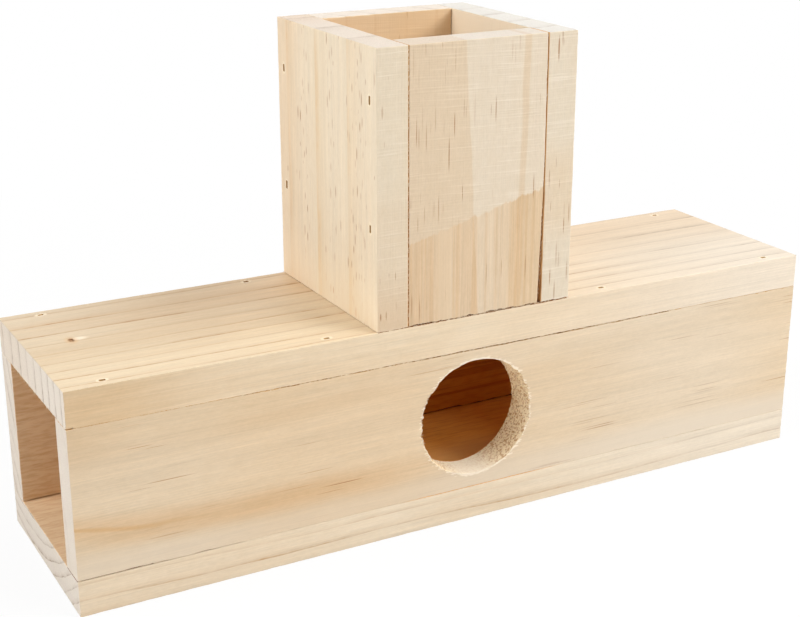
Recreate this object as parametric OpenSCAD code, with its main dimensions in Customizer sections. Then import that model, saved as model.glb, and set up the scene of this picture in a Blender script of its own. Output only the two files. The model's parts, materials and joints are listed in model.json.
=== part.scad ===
// Wooden rodent tunnel: a square tunnel of four pine boards, open at both ends, with a round
// entry hole in its front board and an open square chimney of four boards on its deck.
// Every joint is a plain butt joint held by brads.
// +X runs along the tunnel, -Y is the front with the entry hole, +Z is up,
// and the origin is the middle of the underside.

/* [Tunnel] */
// Length of the tunnel, along the grain of its boards
tunnel_length = 300; // [240:1:500]
// Depth from the front face to the back face, shared by the chimney
tunnel_depth = 78; // [76:1:120]
// Height from the underside to the deck
tunnel_height = 80; // [72:1:120]
// Thickness of the deck board and the floor board
deck_thickness = 13; // [8:0.5:14]
// Thickness of the front board and the back board
side_thickness = 12; // [9:0.5:14]

/* [Entry hole] */
// Diameter of the hole in the front board
entry_diameter = 45; // [25:0.5:47]
// How far the hole lies to the right of the middle of the front board
entry_shift = 1; // [-10:0.5:10]
// Share of the wood left above and below the hole that lies below it
entry_wood_below = 0.55; // [0.2:0.005:0.8]

/* [Chimney] */
// Width along the tunnel, over the outer faces of the left and right boards
chimney_width = 79; // [76:1:110]
// Height above the deck
chimney_height = 98; // [70:1:200]
// Thickness of the left and right boards
chimney_side_thickness = 12; // [8:0.5:14]
// Thickness of the front and back panels between them
panel_thickness = 12; // [9:0.5:14]
// Open seam left between each panel and the right board
panel_gap = 1; // [0:0.25:2]
// Diameter of the hole in the deck below the chimney
shaft_diameter = 45; // [25:0.5:47]

/* [Brads] */
// Length of a brad
brad_length = 30; // [22:1:32]
// Width of a brad's shank
brad_shank_width = 1.2; // [0.9:0.1:1.6]
// Width of a brad's T head
brad_head_width = 2; // [1.8:0.1:2.4]
// Height of a brad's head
brad_head_height = 1; // [0.6:0.1:1.5]
// Thickness of the flat wire that a brad is made of
brad_gauge = 1; // [0.8:0.1:1.4]
// Length of the chisel point
brad_point = 2; // [1:0.25:4]
// Depth of a brad's head below the face it is driven from
brad_sink = 0.6; // [0.2:0.1:1.5]
// Clearance between a brad and the wood on every side
brad_fit = 0.02; // [0:0.01:0.05]

/* [Brad places] */
// From the front and back faces to the brads of the deck and the floor
deck_brad_inset = 4; // [3:0.25:6]
// From the ends of the tunnel to the outer brads
deck_brad_end = 14; // [8:1:40]
// From the chimney's side to the inner brads of the deck and the floor
deck_brad_beside_chimney = 17.5; // [5:0.5:30]
// From the front and back faces to the brads of the panels
panel_brad_inset = 5; // [3:0.25:6]
// From the rim to the upper brads of the panels
panel_brad_below_rim = 18; // [8:1:25]
// From the deck to the lower brads of the panels
panel_brad_above_deck = 36; // [34:1:44]
// Distance between the two brads that hold each end of the chimney's foot
foot_brad_spacing = 36; // [16:1:50]

/* [Edges] */
// Width of the easing on the long arrises of a board
arris = 0.4; // [0.1:0.1:1]

/* [Hidden] */
// How far a cutter runs past the face that it opens
cut_past = 1;
round_faces = 96;

side_height = tunnel_height - 2 * deck_thickness;
side_y = (tunnel_depth - side_thickness) / 2;
deck_underside = tunnel_height - deck_thickness;
entry_z = deck_thickness + entry_wood_below * (side_height - entry_diameter) + entry_diameter / 2;

panel_width = chimney_width - 2 * chimney_side_thickness - panel_gap;
panel_y = (tunnel_depth - panel_thickness) / 2;
chimney_side_x = (chimney_width - chimney_side_thickness) / 2;

deck_brad_y = tunnel_depth / 2 - deck_brad_inset;
deck_brad_outer = tunnel_length / 2 - deck_brad_end;
deck_brad_inner = chimney_width / 2 + deck_brad_beside_chimney;
deck_brad_places = [-deck_brad_outer, -deck_brad_inner, deck_brad_inner, deck_brad_outer];
panel_brad_y = tunnel_depth / 2 - panel_brad_inset;
panel_brad_heights = [
    tunnel_height + panel_brad_above_deck,
    tunnel_height + chimney_height - panel_brad_below_rim
];

deck_wood = "#EFE0C4";
side_wood = "#E6C79F";
chimney_wood = "#EBD7B4";
brad_steel = "#8C8C88";

// A sawn board, its grain along +Z from z = 0, with its four long arrises eased
module sawn_board(across, thick, length) {
    linear_extrude(height = length)
        translate([-across / 2, -thick / 2])
            polygon([
                [arris, 0],
                [across - arris, 0],
                [across, arris],
                [across, thick - arris],
                [across - arris, thick],
                [arris, thick],
                [0, thick - arris],
                [0, arris]
            ]);
}

// A board of the tunnel, its grain along X, its depth along Y and its height along Z
module tunnel_board(depth, height) {
    rotate([90, 0, 90])
        translate([0, 0, -tunnel_length / 2])
            sawn_board(depth, height, tunnel_length);
}

// A board of the chimney, standing on the deck with its grain upright
module chimney_board(width, depth) {
    translate([0, 0, tunnel_height])
        sawn_board(width, depth, chimney_height);
}

// A brad, point down, the top of its T head at the origin. The wood around it is cut by the same
// brad with every face moved out by fit and the head raised past the face it was driven from.
module brad(fit = 0, rise = 0) {
    head_x = brad_head_width / 2 + fit;
    shank_x = brad_shank_width / 2 + fit;
    head_z = -brad_head_height - fit;
    taper_z = brad_point - brad_length;
    tip_z = -brad_length - fit;
    rotate([90, 0, 0])
        linear_extrude(height = brad_gauge + 2 * fit, center = true)
            polygon([
                [-head_x, rise],
                [head_x, rise],
                [head_x, head_z],
                [shank_x, head_z],
                [shank_x, taper_z],
                [0, tip_z],
                [-shank_x, taper_z],
                [-shank_x, head_z],
                [-head_x, head_z]
            ]);
}

// Brads down through the deck into the front board (side -1) or the back board (side 1)
module deck_brads(side, fit = 0, rise = 0) {
    for (x = deck_brad_places)
        translate([x, side * deck_brad_y, tunnel_height - brad_sink])
            brad(fit, rise);
}

// Brads up through the floor into the front board (side -1) or the back board (side 1)
module floor_brads(side, fit = 0, rise = 0) {
    for (x = deck_brad_places)
        translate([x, side * deck_brad_y, brad_sink])
            rotate([180, 0, 0])
                brad(fit, rise);
}

// Brads through the left (end -1) or right (end 1) chimney board into the front (side -1)
// or back (side 1) panel
module panel_brads(end, side, fit = 0, rise = 0) {
    for (z = panel_brad_heights)
        translate([end * (chimney_width / 2 - brad_sink), side * panel_brad_y, z])
            rotate([0, end * 90, 0])
                brad(fit, rise);
}

// Brads up through the deck into the foot of the left (end -1) or right (end 1) chimney board,
// driven before the deck goes on the tunnel
module foot_brads(end, fit = 0, rise = 0) {
    for (side = [-1, 1])
        translate([end * chimney_side_x, side * foot_brad_spacing / 2, deck_underside + brad_sink])
            rotate([180, 0, 0])
                brad(fit, rise);
}

// Everything that the brads take out of the wood
module brad_holes() {
    rise = brad_sink + cut_past;
    for (side = [-1, 1]) {
        deck_brads(side, brad_fit, rise);
        floor_brads(side, brad_fit, rise);
        for (end = [-1, 1])
            panel_brads(end, side, brad_fit, rise);
    }
    for (end = [-1, 1])
        foot_brads(end, brad_fit, rise);
}

// The four boards of the tunnel

module top_board() {
    color(deck_wood)
        difference() {
            translate([0, 0, tunnel_height - deck_thickness / 2])
                tunnel_board(tunnel_depth, deck_thickness);
            translate([0, 0, deck_underside - cut_past])
                cylinder(d = shaft_diameter, h = deck_thickness + 2 * cut_past, $fn = round_faces);
            brad_holes();
        }
}

module bottom_board() {
    color(deck_wood)
        difference() {
            translate([0, 0, deck_thickness / 2])
                tunnel_board(tunnel_depth, deck_thickness);
            brad_holes();
        }
}

module front_board() {
    color(side_wood)
        difference() {
            translate([0, -side_y, tunnel_height / 2])
                tunnel_board(side_thickness, side_height);
            translate([entry_shift, -side_y, entry_z])
                rotate([90, 0, 0])
                    cylinder(
                        d = entry_diameter,
                        h = side_thickness + 2 * cut_past,
                        center = true,
                        $fn = round_faces
                    );
            brad_holes();
        }
}

module back_board() {
    color(side_wood)
        difference() {
            translate([0, side_y, tunnel_height / 2])
                tunnel_board(side_thickness, side_height);
            brad_holes();
        }
}

// The four boards of the chimney

module chimney_left_board() {
    color(chimney_wood)
        difference() {
            translate([-chimney_side_x, 0, 0])
                chimney_board(chimney_side_thickness, tunnel_depth);
            brad_holes();
        }
}

module chimney_right_board() {
    color(chimney_wood)
        difference() {
            translate([chimney_side_x, 0, 0])
                chimney_board(chimney_side_thickness, tunnel_depth);
            brad_holes();
        }
}

module chimney_front_board() {
    color(chimney_wood)
        difference() {
            translate([-panel_gap / 2, -panel_y, 0])
                chimney_board(panel_width, panel_thickness);
            brad_holes();
        }
}

module chimney_back_board() {
    color(chimney_wood)
        difference() {
            translate([-panel_gap / 2, panel_y, 0])
                chimney_board(panel_width, panel_thickness);
            brad_holes();
        }
}

// The brads, one row to a node

module top_front_brads() {
    color(brad_steel) deck_brads(-1);
}

module top_back_brads() {
    color(brad_steel) deck_brads(1);
}

module bottom_front_brads() {
    color(brad_steel) floor_brads(-1);
}

module bottom_back_brads() {
    color(brad_steel) floor_brads(1);
}

module chimney_left_front_brads() {
    color(brad_steel) panel_brads(-1, -1);
}

module chimney_left_back_brads() {
    color(brad_steel) panel_brads(-1, 1);
}

module chimney_right_front_brads() {
    color(brad_steel) panel_brads(1, -1);
}

module chimney_right_back_brads() {
    color(brad_steel) panel_brads(1, 1);
}

module chimney_foot_left_brads() {
    color(brad_steel) foot_brads(-1);
}

module chimney_foot_right_brads() {
    color(brad_steel) foot_brads(1);
}

top_board();
bottom_board();
front_board();
back_board();
chimney_left_board();
chimney_right_board();
chimney_front_board();
chimney_back_board();
top_front_brads();
top_back_brads();
bottom_front_brads();
bottom_back_brads();
chimney_left_front_brads();
chimney_left_back_brads();
chimney_right_front_brads();
chimney_right_back_brads();
chimney_foot_left_brads();
chimney_foot_right_brads();
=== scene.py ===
# %% [markdown]
# # A nailed pine tunnel for small rodents
#
# The object is a square tunnel of four pine boards with an open chimney of four more boards on its
# deck. Nothing about it is finished: the boards are sawn, their ends are rough end grain, the entry
# hole has torn fibres round its rim and every joint shows the mark of a brad. This lesson rebuilds the
# boards with those marks, grows one solid pine texture for all of them, and lights the object as a
# pale product picture. Everything is in metres, in the frame that the part was built in.

# %% Frame
import json
import math

import bpy
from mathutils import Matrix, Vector


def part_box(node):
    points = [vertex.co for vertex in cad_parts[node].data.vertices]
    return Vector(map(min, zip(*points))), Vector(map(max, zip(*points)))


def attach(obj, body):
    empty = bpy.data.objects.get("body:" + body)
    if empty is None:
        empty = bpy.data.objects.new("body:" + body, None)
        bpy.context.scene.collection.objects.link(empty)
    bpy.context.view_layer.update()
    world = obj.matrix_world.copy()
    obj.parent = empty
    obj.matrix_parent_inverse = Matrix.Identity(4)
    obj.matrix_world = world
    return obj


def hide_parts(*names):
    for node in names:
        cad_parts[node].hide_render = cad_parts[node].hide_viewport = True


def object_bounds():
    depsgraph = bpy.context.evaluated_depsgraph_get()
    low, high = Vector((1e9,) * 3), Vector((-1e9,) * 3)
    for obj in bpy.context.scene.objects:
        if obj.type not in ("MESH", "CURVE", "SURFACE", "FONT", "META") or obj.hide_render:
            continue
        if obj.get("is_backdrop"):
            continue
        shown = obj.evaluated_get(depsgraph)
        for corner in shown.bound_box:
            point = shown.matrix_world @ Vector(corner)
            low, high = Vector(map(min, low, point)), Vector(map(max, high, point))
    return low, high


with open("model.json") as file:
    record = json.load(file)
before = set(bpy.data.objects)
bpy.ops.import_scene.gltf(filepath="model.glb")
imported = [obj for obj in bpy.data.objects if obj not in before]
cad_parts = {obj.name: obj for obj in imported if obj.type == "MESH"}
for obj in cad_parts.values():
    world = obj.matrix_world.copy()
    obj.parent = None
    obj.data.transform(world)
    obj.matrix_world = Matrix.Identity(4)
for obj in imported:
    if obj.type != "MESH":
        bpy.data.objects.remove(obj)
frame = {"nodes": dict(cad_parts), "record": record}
cad_low, cad_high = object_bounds()
scene = bpy.context.scene
MM = 0.001
print("frame", [round(v / MM, 1) for v in (cad_high - cad_low)], "mm")


# %% [markdown]
# ## One way to add a node
#
# Shader trees and geometry trees are built the same way: a node, its settings, and what goes into its
# sockets. One small function does that for every kind of node. A socket takes a constant, another
# socket, or a node, which stands for its output in use. A range takes its value, the two ends it runs
# between and what it gives there. A mix takes its factor and the two things it mixes. A row of values
# that is longer than the node goes on in another one of its kind, so one line multiplies many masks.

# %% Node helper
MATH, VECTOR, MIX = "ShaderNodeMath", "ShaderNodeVectorMath", "ShaderNodeMix"
RANGE, NOISE = "ShaderNodeMapRange", "ShaderNodeTexNoise"
SPLIT, JOIN, POSITION = "ShaderNodeSeparateXYZ", "ShaderNodeCombineXYZ", "ShaderNodeTexCoord"
PLUS, MINUS, TIMES = {"operation": "ADD"}, {"operation": "SUBTRACT"}, {"operation": "MULTIPLY"}
DIVIDE, TIMES_PLUS, SCALE = {"operation": "DIVIDE"}, {"operation": "MULTIPLY_ADD"}, {"operation": "SCALE"}
ABOVE, BELOW, CLOSE_TO = {"operation": "GREATER_THAN"}, {"operation": "LESS_THAN"}, {"operation": "COMPARE"}
LARGER, SMALLER = {"operation": "MAXIMUM"}, {"operation": "MINIMUM"}
UNSIGNED, LENGTH, UNIT = {"operation": "ABSOLUTE"}, {"operation": "LENGTH"}, {"operation": "NORMALIZE"}
SMOOTH, COLOUR, RAW = {"interpolation_type": "SMOOTHSTEP"}, {"data_type": "RGBA"}, {"normalize": False}


def fill(tree, socket, value):
    """Gives a socket a constant, another socket, or a node's output in use."""
    if isinstance(value, bpy.types.Node):
        value = next(s for s in value.outputs if s.enabled)
    if isinstance(value, bpy.types.NodeSocket):
        tree.links.new(value, socket)
    else:
        socket.default_value = value


def add(tree, kind, settings=None, links=None):
    """Adds a node to a tree, sets it up and fills its sockets, by name or in their order."""
    made = tree.nodes.new(kind)
    for name, value in (settings or {}).items():
        setattr(made, name, value)
    usable = [s for s in made.inputs if s.enabled]
    pairs = list(links.items() if isinstance(links, dict) else enumerate(links or ()))
    for key, value in pairs[:len(usable)]:
        socket = usable[key] if isinstance(key, int) else next(s for s in usable if s.name == key)
        fill(tree, socket, value)
    more = [value for key, value in pairs[len(usable):]]
    return add(tree, kind, settings, [made] + more) if more else made


def linear(hex_colour):
    """An sRGB hex colour as linear red, green, blue and alpha."""
    parts = [int(hex_colour[i:i + 2], 16) / 255 for i in (1, 3, 5)]
    return [p / 12.92 if p <= 0.04045 else ((p + 0.055) / 1.055) ** 2.4 for p in parts] + [1.0]


print("middle grey in linear light", round(linear("#808080")[0], 3))

# %% [markdown]
# ## Pine as a solid
#
# Raw pine shows its growth rings on every face at once: as lines along a board, as arcs on its end.
# A picture wrapped round a board can't do that, so the wood is a solid texture in one node group. It
# works in millimetres from the board's middle: x runs along the grain, y across the board and z
# through it. Each board sets where it was cut from the tree and how its wood is coloured.

# %% Pine node group
PINE_INPUTS = {
    "Grain": (0, 0, 0), "Facing": (0, 0, 1), "Pith": (0, 200, 0), "Lean": (0, 0, 0), "Inner radius": 0.0,
    "Ring rate": 0.1, "Ring narrowing": 0.0, "Ring spread": 0.0, "Ring shift": 0.0, "Wander": 1.0,
    "Late start": 0.4, "Late amount": 0.6, "Slow amount": 0.45, "Line amount": 0.55, "Edge rings": 1.0,
    "Early": "#EFDDBF", "Tone": "#E2BE91", "Tone amount": 0.5, "Late": "#C99F6B", "Canals": 0.4,
    "Canal length": 4.0, "Canal width": 0.7, "Canal spread": 0.0, "Rough face": 0.0, "Rough edge": 0.0,
    "Seed": 0.0,
}
SOCKETS = {tuple: "NodeSocketVector", float: "NodeSocketFloat", str: "NodeSocketColor"}
pine = bpy.data.node_groups.new("sawn_pine", "ShaderNodeTree")
for name, value in PINE_INPUTS.items():
    socket = pine.interface.new_socket(name, in_out="INPUT", socket_type=SOCKETS[type(value)])
    socket.default_value = linear(value) if isinstance(value, str) else value
for name, kind in (("Color", str), ("Roughness", float), ("Height", float)):
    pine.interface.new_socket(name, in_out="OUTPUT", socket_type=SOCKETS[kind])
board = pine.nodes.new("NodeGroupInput").outputs
along, across, through = add(pine, SPLIT, None, [board["Grain"]]).outputs
to_end, to_edge, to_face = add(pine, SPLIT, None, [board["Facing"]]).outputs
end = add(pine, RANGE, SMOOTH, [to_end, 0.5, 0.9])
side_face = add(pine, MATH, MINUS, [1.0, end])
on_face = add(pine, MATH, ABOVE, [to_face, to_edge])
rough = add(pine, MIX, None, [on_face, board["Rough edge"], board["Rough face"]])
rough = add(pine, MATH, TIMES, [rough, side_face])
print("pine inputs", len(PINE_INPUTS))

# %% [markdown]
# ## Eleven noises
#
# Everything uneven in the wood comes from noise that is stretched along the grain. Each pattern has
# its own size in millimetres along the grain, across it and through it. A single fibre is a few
# hundredths of a millimetre wide, too fine to show, so fuzz, fine, saw and pores are drawn about ten
# times coarser. A saw runs across the board at a slight slant, so the whole pattern leans a little.

# %% Noise patterns
PATTERNS = {
    "wander": ((140.0, 34.0, 34.0), 1.0),
    "shiver": ((33.0, 6.0, 6.0), 2.0),
    "tone": ((125.0, 22.0, 22.0), 1.5),
    "patch": ((70.0, 5.0, 5.0), 1.0),
    "fade": ((45.0, 6.0, 6.0), 1.0),
    "mottle": ((4.0, 1.8, 1.8), 2.0),
    "fuzz": ((1.5, 0.45, 0.45), 2.0),
    "broad": ((90.0, 2.0, 2.0), 2.0),
    "fine": ((22.0, 0.5, 0.5), 3.0),
    "saw": ((0.6, 24.0, 24.0), 2.0),
    "pores": ((0.6, 0.5, 0.5), 3.0),
}
SAW_SLANT = 0.03
SEED_STEP = (370.0, 61.0, 83.0)


def grained(tree, place, size, detail):
    """Noise round zero, stretched to a size in millimetres along the grain, across it and through it."""
    stretched = add(tree, VECTOR, DIVIDE, [place, size])
    return add(tree, NOISE, RAW, {"Vector": stretched, "Scale": 1.0, "Detail": detail})


shift = add(pine, VECTOR, SCALE, [SEED_STEP, board["Seed"]])
slant = add(pine, MATH, TIMES_PLUS, [across, SAW_SLANT, along])
start = add(pine, JOIN, None, [slant, across, through])
start = add(pine, VECTOR, PLUS, [start, shift])
noise = {name: grained(pine, start, size, detail) for name, (size, detail) in PATTERNS.items()}
print("noises", len(noise))

# %% [markdown]
# ## Growth rings
#
# A ring is the distance from the tree's pith. The pith may lean, the rings may get narrower towards
# the bark and spread along the log, and the noise lets them wander. Within a ring the wood goes slowly
# from pale earlywood to tan latewood, ends in a thin dark line, and starts again in one step. A wave
# texture would repeat itself, so each year also draws its own strength.

# %% Growth rings
drift = add(pine, VECTOR, SCALE, [board["Lean"], along])
away = add(pine, VECTOR, MINUS, [board["Grain"], board["Pith"], drift])
away = add(pine, VECTOR, TIMES, [away, (0.0, 1.0, 1.0)])
radius = add(pine, VECTOR, LENGTH, [away])
grown = add(pine, MATH, MINUS, [radius, board["Inner radius"]])
grown = add(pine, MATH, TIMES_PLUS, [noise["wander"], board["Wander"], grown])
grown = add(pine, MATH, TIMES_PLUS, [noise["shiver"], 0.4, grown])
rate = add(pine, MATH, TIMES_PLUS, [grown, board["Ring narrowing"], board["Ring rate"]])
spread = add(pine, MATH, TIMES, [along, board["Ring spread"]])
spread = add(pine, MATH, MINUS, [1.0, spread])
rate = add(pine, MATH, TIMES, [rate, spread])
rings = add(pine, MATH, TIMES_PLUS, [grown, rate, board["Ring shift"]])
year = add(pine, MATH, {"operation": "FLOOR"}, [rings])
season = add(pine, MATH, {"operation": "FRACT"}, [rings])
luck = add(pine, MATH, PLUS, [year, board["Seed"]])
luck = add(pine, "ShaderNodeTexWhiteNoise", {"noise_dimensions": "1D"}, {"W": luck})
strength = add(pine, MATH, TIMES_PLUS, [luck, 0.6, 0.45])
slow = add(pine, RANGE, SMOOTH, [season, board["Late start"], 0.98, 0.0, board["Slow amount"]])
line = add(pine, RANGE, SMOOTH, [season, 0.84, 0.95, 0.0, board["Line amount"]])
stop = add(pine, RANGE, SMOOTH, [season, 1.0, 0.965])
faint = add(pine, RANGE, SMOOTH, [noise["fade"], -0.3, 0.4, 0.45, 1.0])
speck = add(pine, MATH, TIMES_PLUS, [noise["mottle"], 0.6, 0.95])
whole = add(pine, MATH, LARGER, [on_face, end])
kept = add(pine, MIX, None, [whole, board["Edge rings"], 1.0])
late = add(pine, MATH, PLUS, [slow, line])
late = add(pine, MATH, TIMES, [late, stop, strength, board["Late amount"], faint, speck, kept])
print("rings", len(pine.nodes), "nodes so far")

# %% [markdown]
# ## Colour of the wood
#
# Pale earlywood first, then broad tan clouds, then the latewood of each ring, then the fibres as faint
# streaks of light and dark. Laying them one over the other, as a painter would, lets each be matched to
# the real wood by itself.

# %% Wood colour
clouds = add(pine, RANGE, SMOOTH, [noise["tone"], -0.35, 0.35])
clouds = add(pine, MATH, TIMES, [clouds, board["Tone amount"]])
colour = add(pine, MIX, COLOUR, [clouds, board["Early"], board["Tone"]])
colour = add(pine, MIX, COLOUR, [late, colour, board["Late"]])
streak = add(pine, MATH, TIMES, [noise["fine"], 0.07])
streak = add(pine, MATH, TIMES_PLUS, [noise["broad"], 0.05, streak])
calm = add(pine, MATH, TIMES_PLUS, [rough, -0.8, 1.0])
streak = add(pine, MATH, TIMES, [streak, calm])
streak = add(pine, MATH, TIMES_PLUS, [noise["fuzz"], 0.035, streak])
shade = add(pine, MATH, PLUS, [streak, 1.0])
colour = add(pine, VECTOR, SCALE, [colour, shade])
blush = add(pine, VECTOR, SCALE, [(0.018, 0.028, 0.044), noise["mottle"]])
blush = add(pine, VECTOR, PLUS, [blush, (1.0, 1.0, 1.0)])
colour = add(pine, VECTOR, TIMES, [colour, blush])
print("wood colour", len(pine.nodes), "nodes so far")

# %% [markdown]
# ## Resin canals
#
# The short brown dashes on sawn pine are resin canals that the saw laid open. They lie in the plane of
# the face, so a flat cell pattern, stretched along the grain, places them: one dash in the middle of
# some of the cells, in patches.

# %% Resin canals
CANAL_CELL = 2.5
CANAL_SEED_STEP = 7.3
cell_long = add(pine, MATH, TIMES, [board["Canal length"], CANAL_CELL])
cell_wide = add(pine, MATH, TIMES, [board["Canal width"], CANAL_CELL])
sideways = add(pine, MIX, None, [on_face, through, across])
cell_x = add(pine, MATH, DIVIDE, [along, cell_long])
cell_y = add(pine, MATH, DIVIDE, [sideways, cell_wide])
cell_x = add(pine, MATH, TIMES_PLUS, [board["Seed"], CANAL_SEED_STEP, cell_x])
flat = add(pine, JOIN, None, [cell_x, cell_y])
cells = add(pine, "ShaderNodeTexVoronoi", {"voronoi_dimensions": "2D"}, {"Vector": flat, "Scale": 1.0})
red, green, blue = add(pine, "ShaderNodeSeparateColor", None, [cells.outputs["Color"]]).outputs
reach = add(pine, MATH, TIMES_PLUS, [green, 0.2, 0.07])
core = add(pine, MATH, TIMES, [reach, 0.4])
dash = add(pine, RANGE, SMOOTH, [cells.outputs["Distance"], reach, core])
rare = add(pine, MATH, MINUS, [1.0, board["Canals"]])
chosen = add(pine, MATH, ABOVE, [red, rare])
patch = add(pine, RANGE, SMOOTH, [noise["patch"], -0.15, 0.25, board["Canal spread"], 1.0])
depth = add(pine, MATH, TIMES_PLUS, [blue, 0.85, 0.25])
canal = add(pine, MATH, TIMES, [dash, chosen, depth, patch, side_face])
tint = add(pine, MATH, TIMES, [canal, 0.75])
colour = add(pine, MIX, COLOUR, [tint, colour, linear("#A3682C")])
print("canals", len(pine.nodes), "nodes so far")

# %% [markdown]
# ## Saw marks, end grain and worn arrises
#
# A saw leaves fine ridges across the grain with pale fibres on their crests. End grain is paler and
# greyer than the faces, and full of open pores. On the arrises the fibres are crushed and look light:
# the boards' meshes say where, in an attribute.

# %% Saw marks, end grain and arrises
crest = add(pine, RANGE, SMOOTH, [noise["saw"], 0.25, 0.7, 0.0, 0.4])
crest = add(pine, MATH, TIMES, [crest, rough])
colour = add(pine, MIX, COLOUR, [crest, colour, linear("#F2E6D4")])
ridge = add(pine, MATH, TIMES, [noise["saw"], rough])
dull = add(pine, MATH, TIMES_PLUS, [rough, -0.1, 1.0])
shade = add(pine, MATH, TIMES_PLUS, [ridge, 0.02, dull])
colour = add(pine, VECTOR, SCALE, [colour, shade])
pale_end = add(pine, MATH, TIMES, [end, 0.8])
colour = add(pine, MIX, COLOUR, [pale_end, colour, linear("#DBD2C8")])
end_ring = add(pine, MATH, TIMES, [late, end])
colour = add(pine, MIX, COLOUR, [end_ring, colour, linear("#A28D78")])
pits = add(pine, MATH, TIMES, [noise["pores"], end])
shade = add(pine, MATH, TIMES_PLUS, [pits, 0.08, 1.0])
colour = add(pine, VECTOR, SCALE, [colour, shade])
worn = add(pine, "ShaderNodeAttribute", {"attribute_name": "arris"})
worn = add(pine, MATH, TIMES, [worn.outputs["Fac"], 0.45])
colour = add(pine, MIX, COLOUR, [worn, colour, linear("#F0E2CC")])
print("worn arrises", len(pine.nodes), "nodes so far")

# %% [markdown]
# ## Relief and gloss
#
# Fibres, saw ridges, pores and canals are a few hundredths of a millimetre high or deep. That is too
# little for a mesh, so they go out as a height for the bump, in millimetres. Raw wood is matt, and the
# streaks between its fibres make it a little uneven.

# %% Height and output
height = add(pine, MATH, TIMES, [noise["fine"], 0.012])
height = add(pine, MATH, TIMES_PLUS, [canal, -0.05, height])
height = add(pine, MATH, TIMES_PLUS, [ridge, 0.03, height])
height = add(pine, MATH, TIMES_PLUS, [pits, 0.06, height])
gloss = add(pine, MATH, TIMES_PLUS, [noise["fine"], 0.05, 0.64])
add(pine, "NodeGroupOutput", None, {"Color": colour, "Roughness": gloss, "Height": height})
print("pine group", len(pine.nodes), "nodes")


# %% [markdown]
# ## A finish for each board
#
# Every board was cut from another place in the log, so each has its own pith, ring width and tones.
# The three letters give the axes along the grain, across the board and through it. One function makes
# the eight finishes, because only the cut differs. Two nodes in each keep the place on the board and
# the way its surface faces, for the marks that come later.

# %% Board finishes
def new_finish(name):
    """A material, its tree and the inputs of its surface."""
    material = bpy.data.materials.new(name)
    material.use_nodes = True
    return material, material.node_tree, material.node_tree.nodes["Principled BSDF"].inputs


def board_finish(node, axes, cut):
    """Raw sawn pine for one board: matt, pale, with the grain along the first of its axes."""
    material, tree, surface = new_finish("raw_pine_" + node)
    middle = sum(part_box(node), Vector()) / 2
    where = add(tree, POSITION)
    where = add(tree, VECTOR, MINUS, [where.outputs["Object"], middle])
    where = add(tree, VECTOR, SCALE, [where, 1 / MM])
    where = add(tree, SPLIT, None, [where]).outputs
    grain = add(tree, JOIN, {"name": "grain"}, [where[axis] for axis in axes])
    normal = add(tree, "ShaderNodeNewGeometry")
    normal = add(tree, VECTOR, UNSIGNED, [normal.outputs["Normal"]])
    normal = add(tree, SPLIT, None, [normal]).outputs
    facing = add(tree, JOIN, None, [normal[axis] for axis in axes])
    add(tree, SPLIT, {"name": "place"}, [grain])
    add(tree, SPLIT, {"name": "sides"}, [facing])
    wood = add(tree, "ShaderNodeGroup", {"node_tree": pine, "name": "wood"},
               {"Grain": grain, "Facing": facing})
    for name, value in cut.items():
        value = linear(value) if isinstance(value, str) else value
        fill(tree, wood.inputs[name.replace("_", " ").capitalize()], value)
    bump = add(tree, "ShaderNodeBump", None, {"Height": wood.outputs["Height"], "Distance": MM})
    fill(tree, surface["Base Color"], wood.outputs["Color"])
    fill(tree, surface["Roughness"], wood.outputs["Roughness"])
    fill(tree, surface["Normal"], bump)
    fill(tree, surface["Specular IOR Level"], 0.25)
    return material


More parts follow.
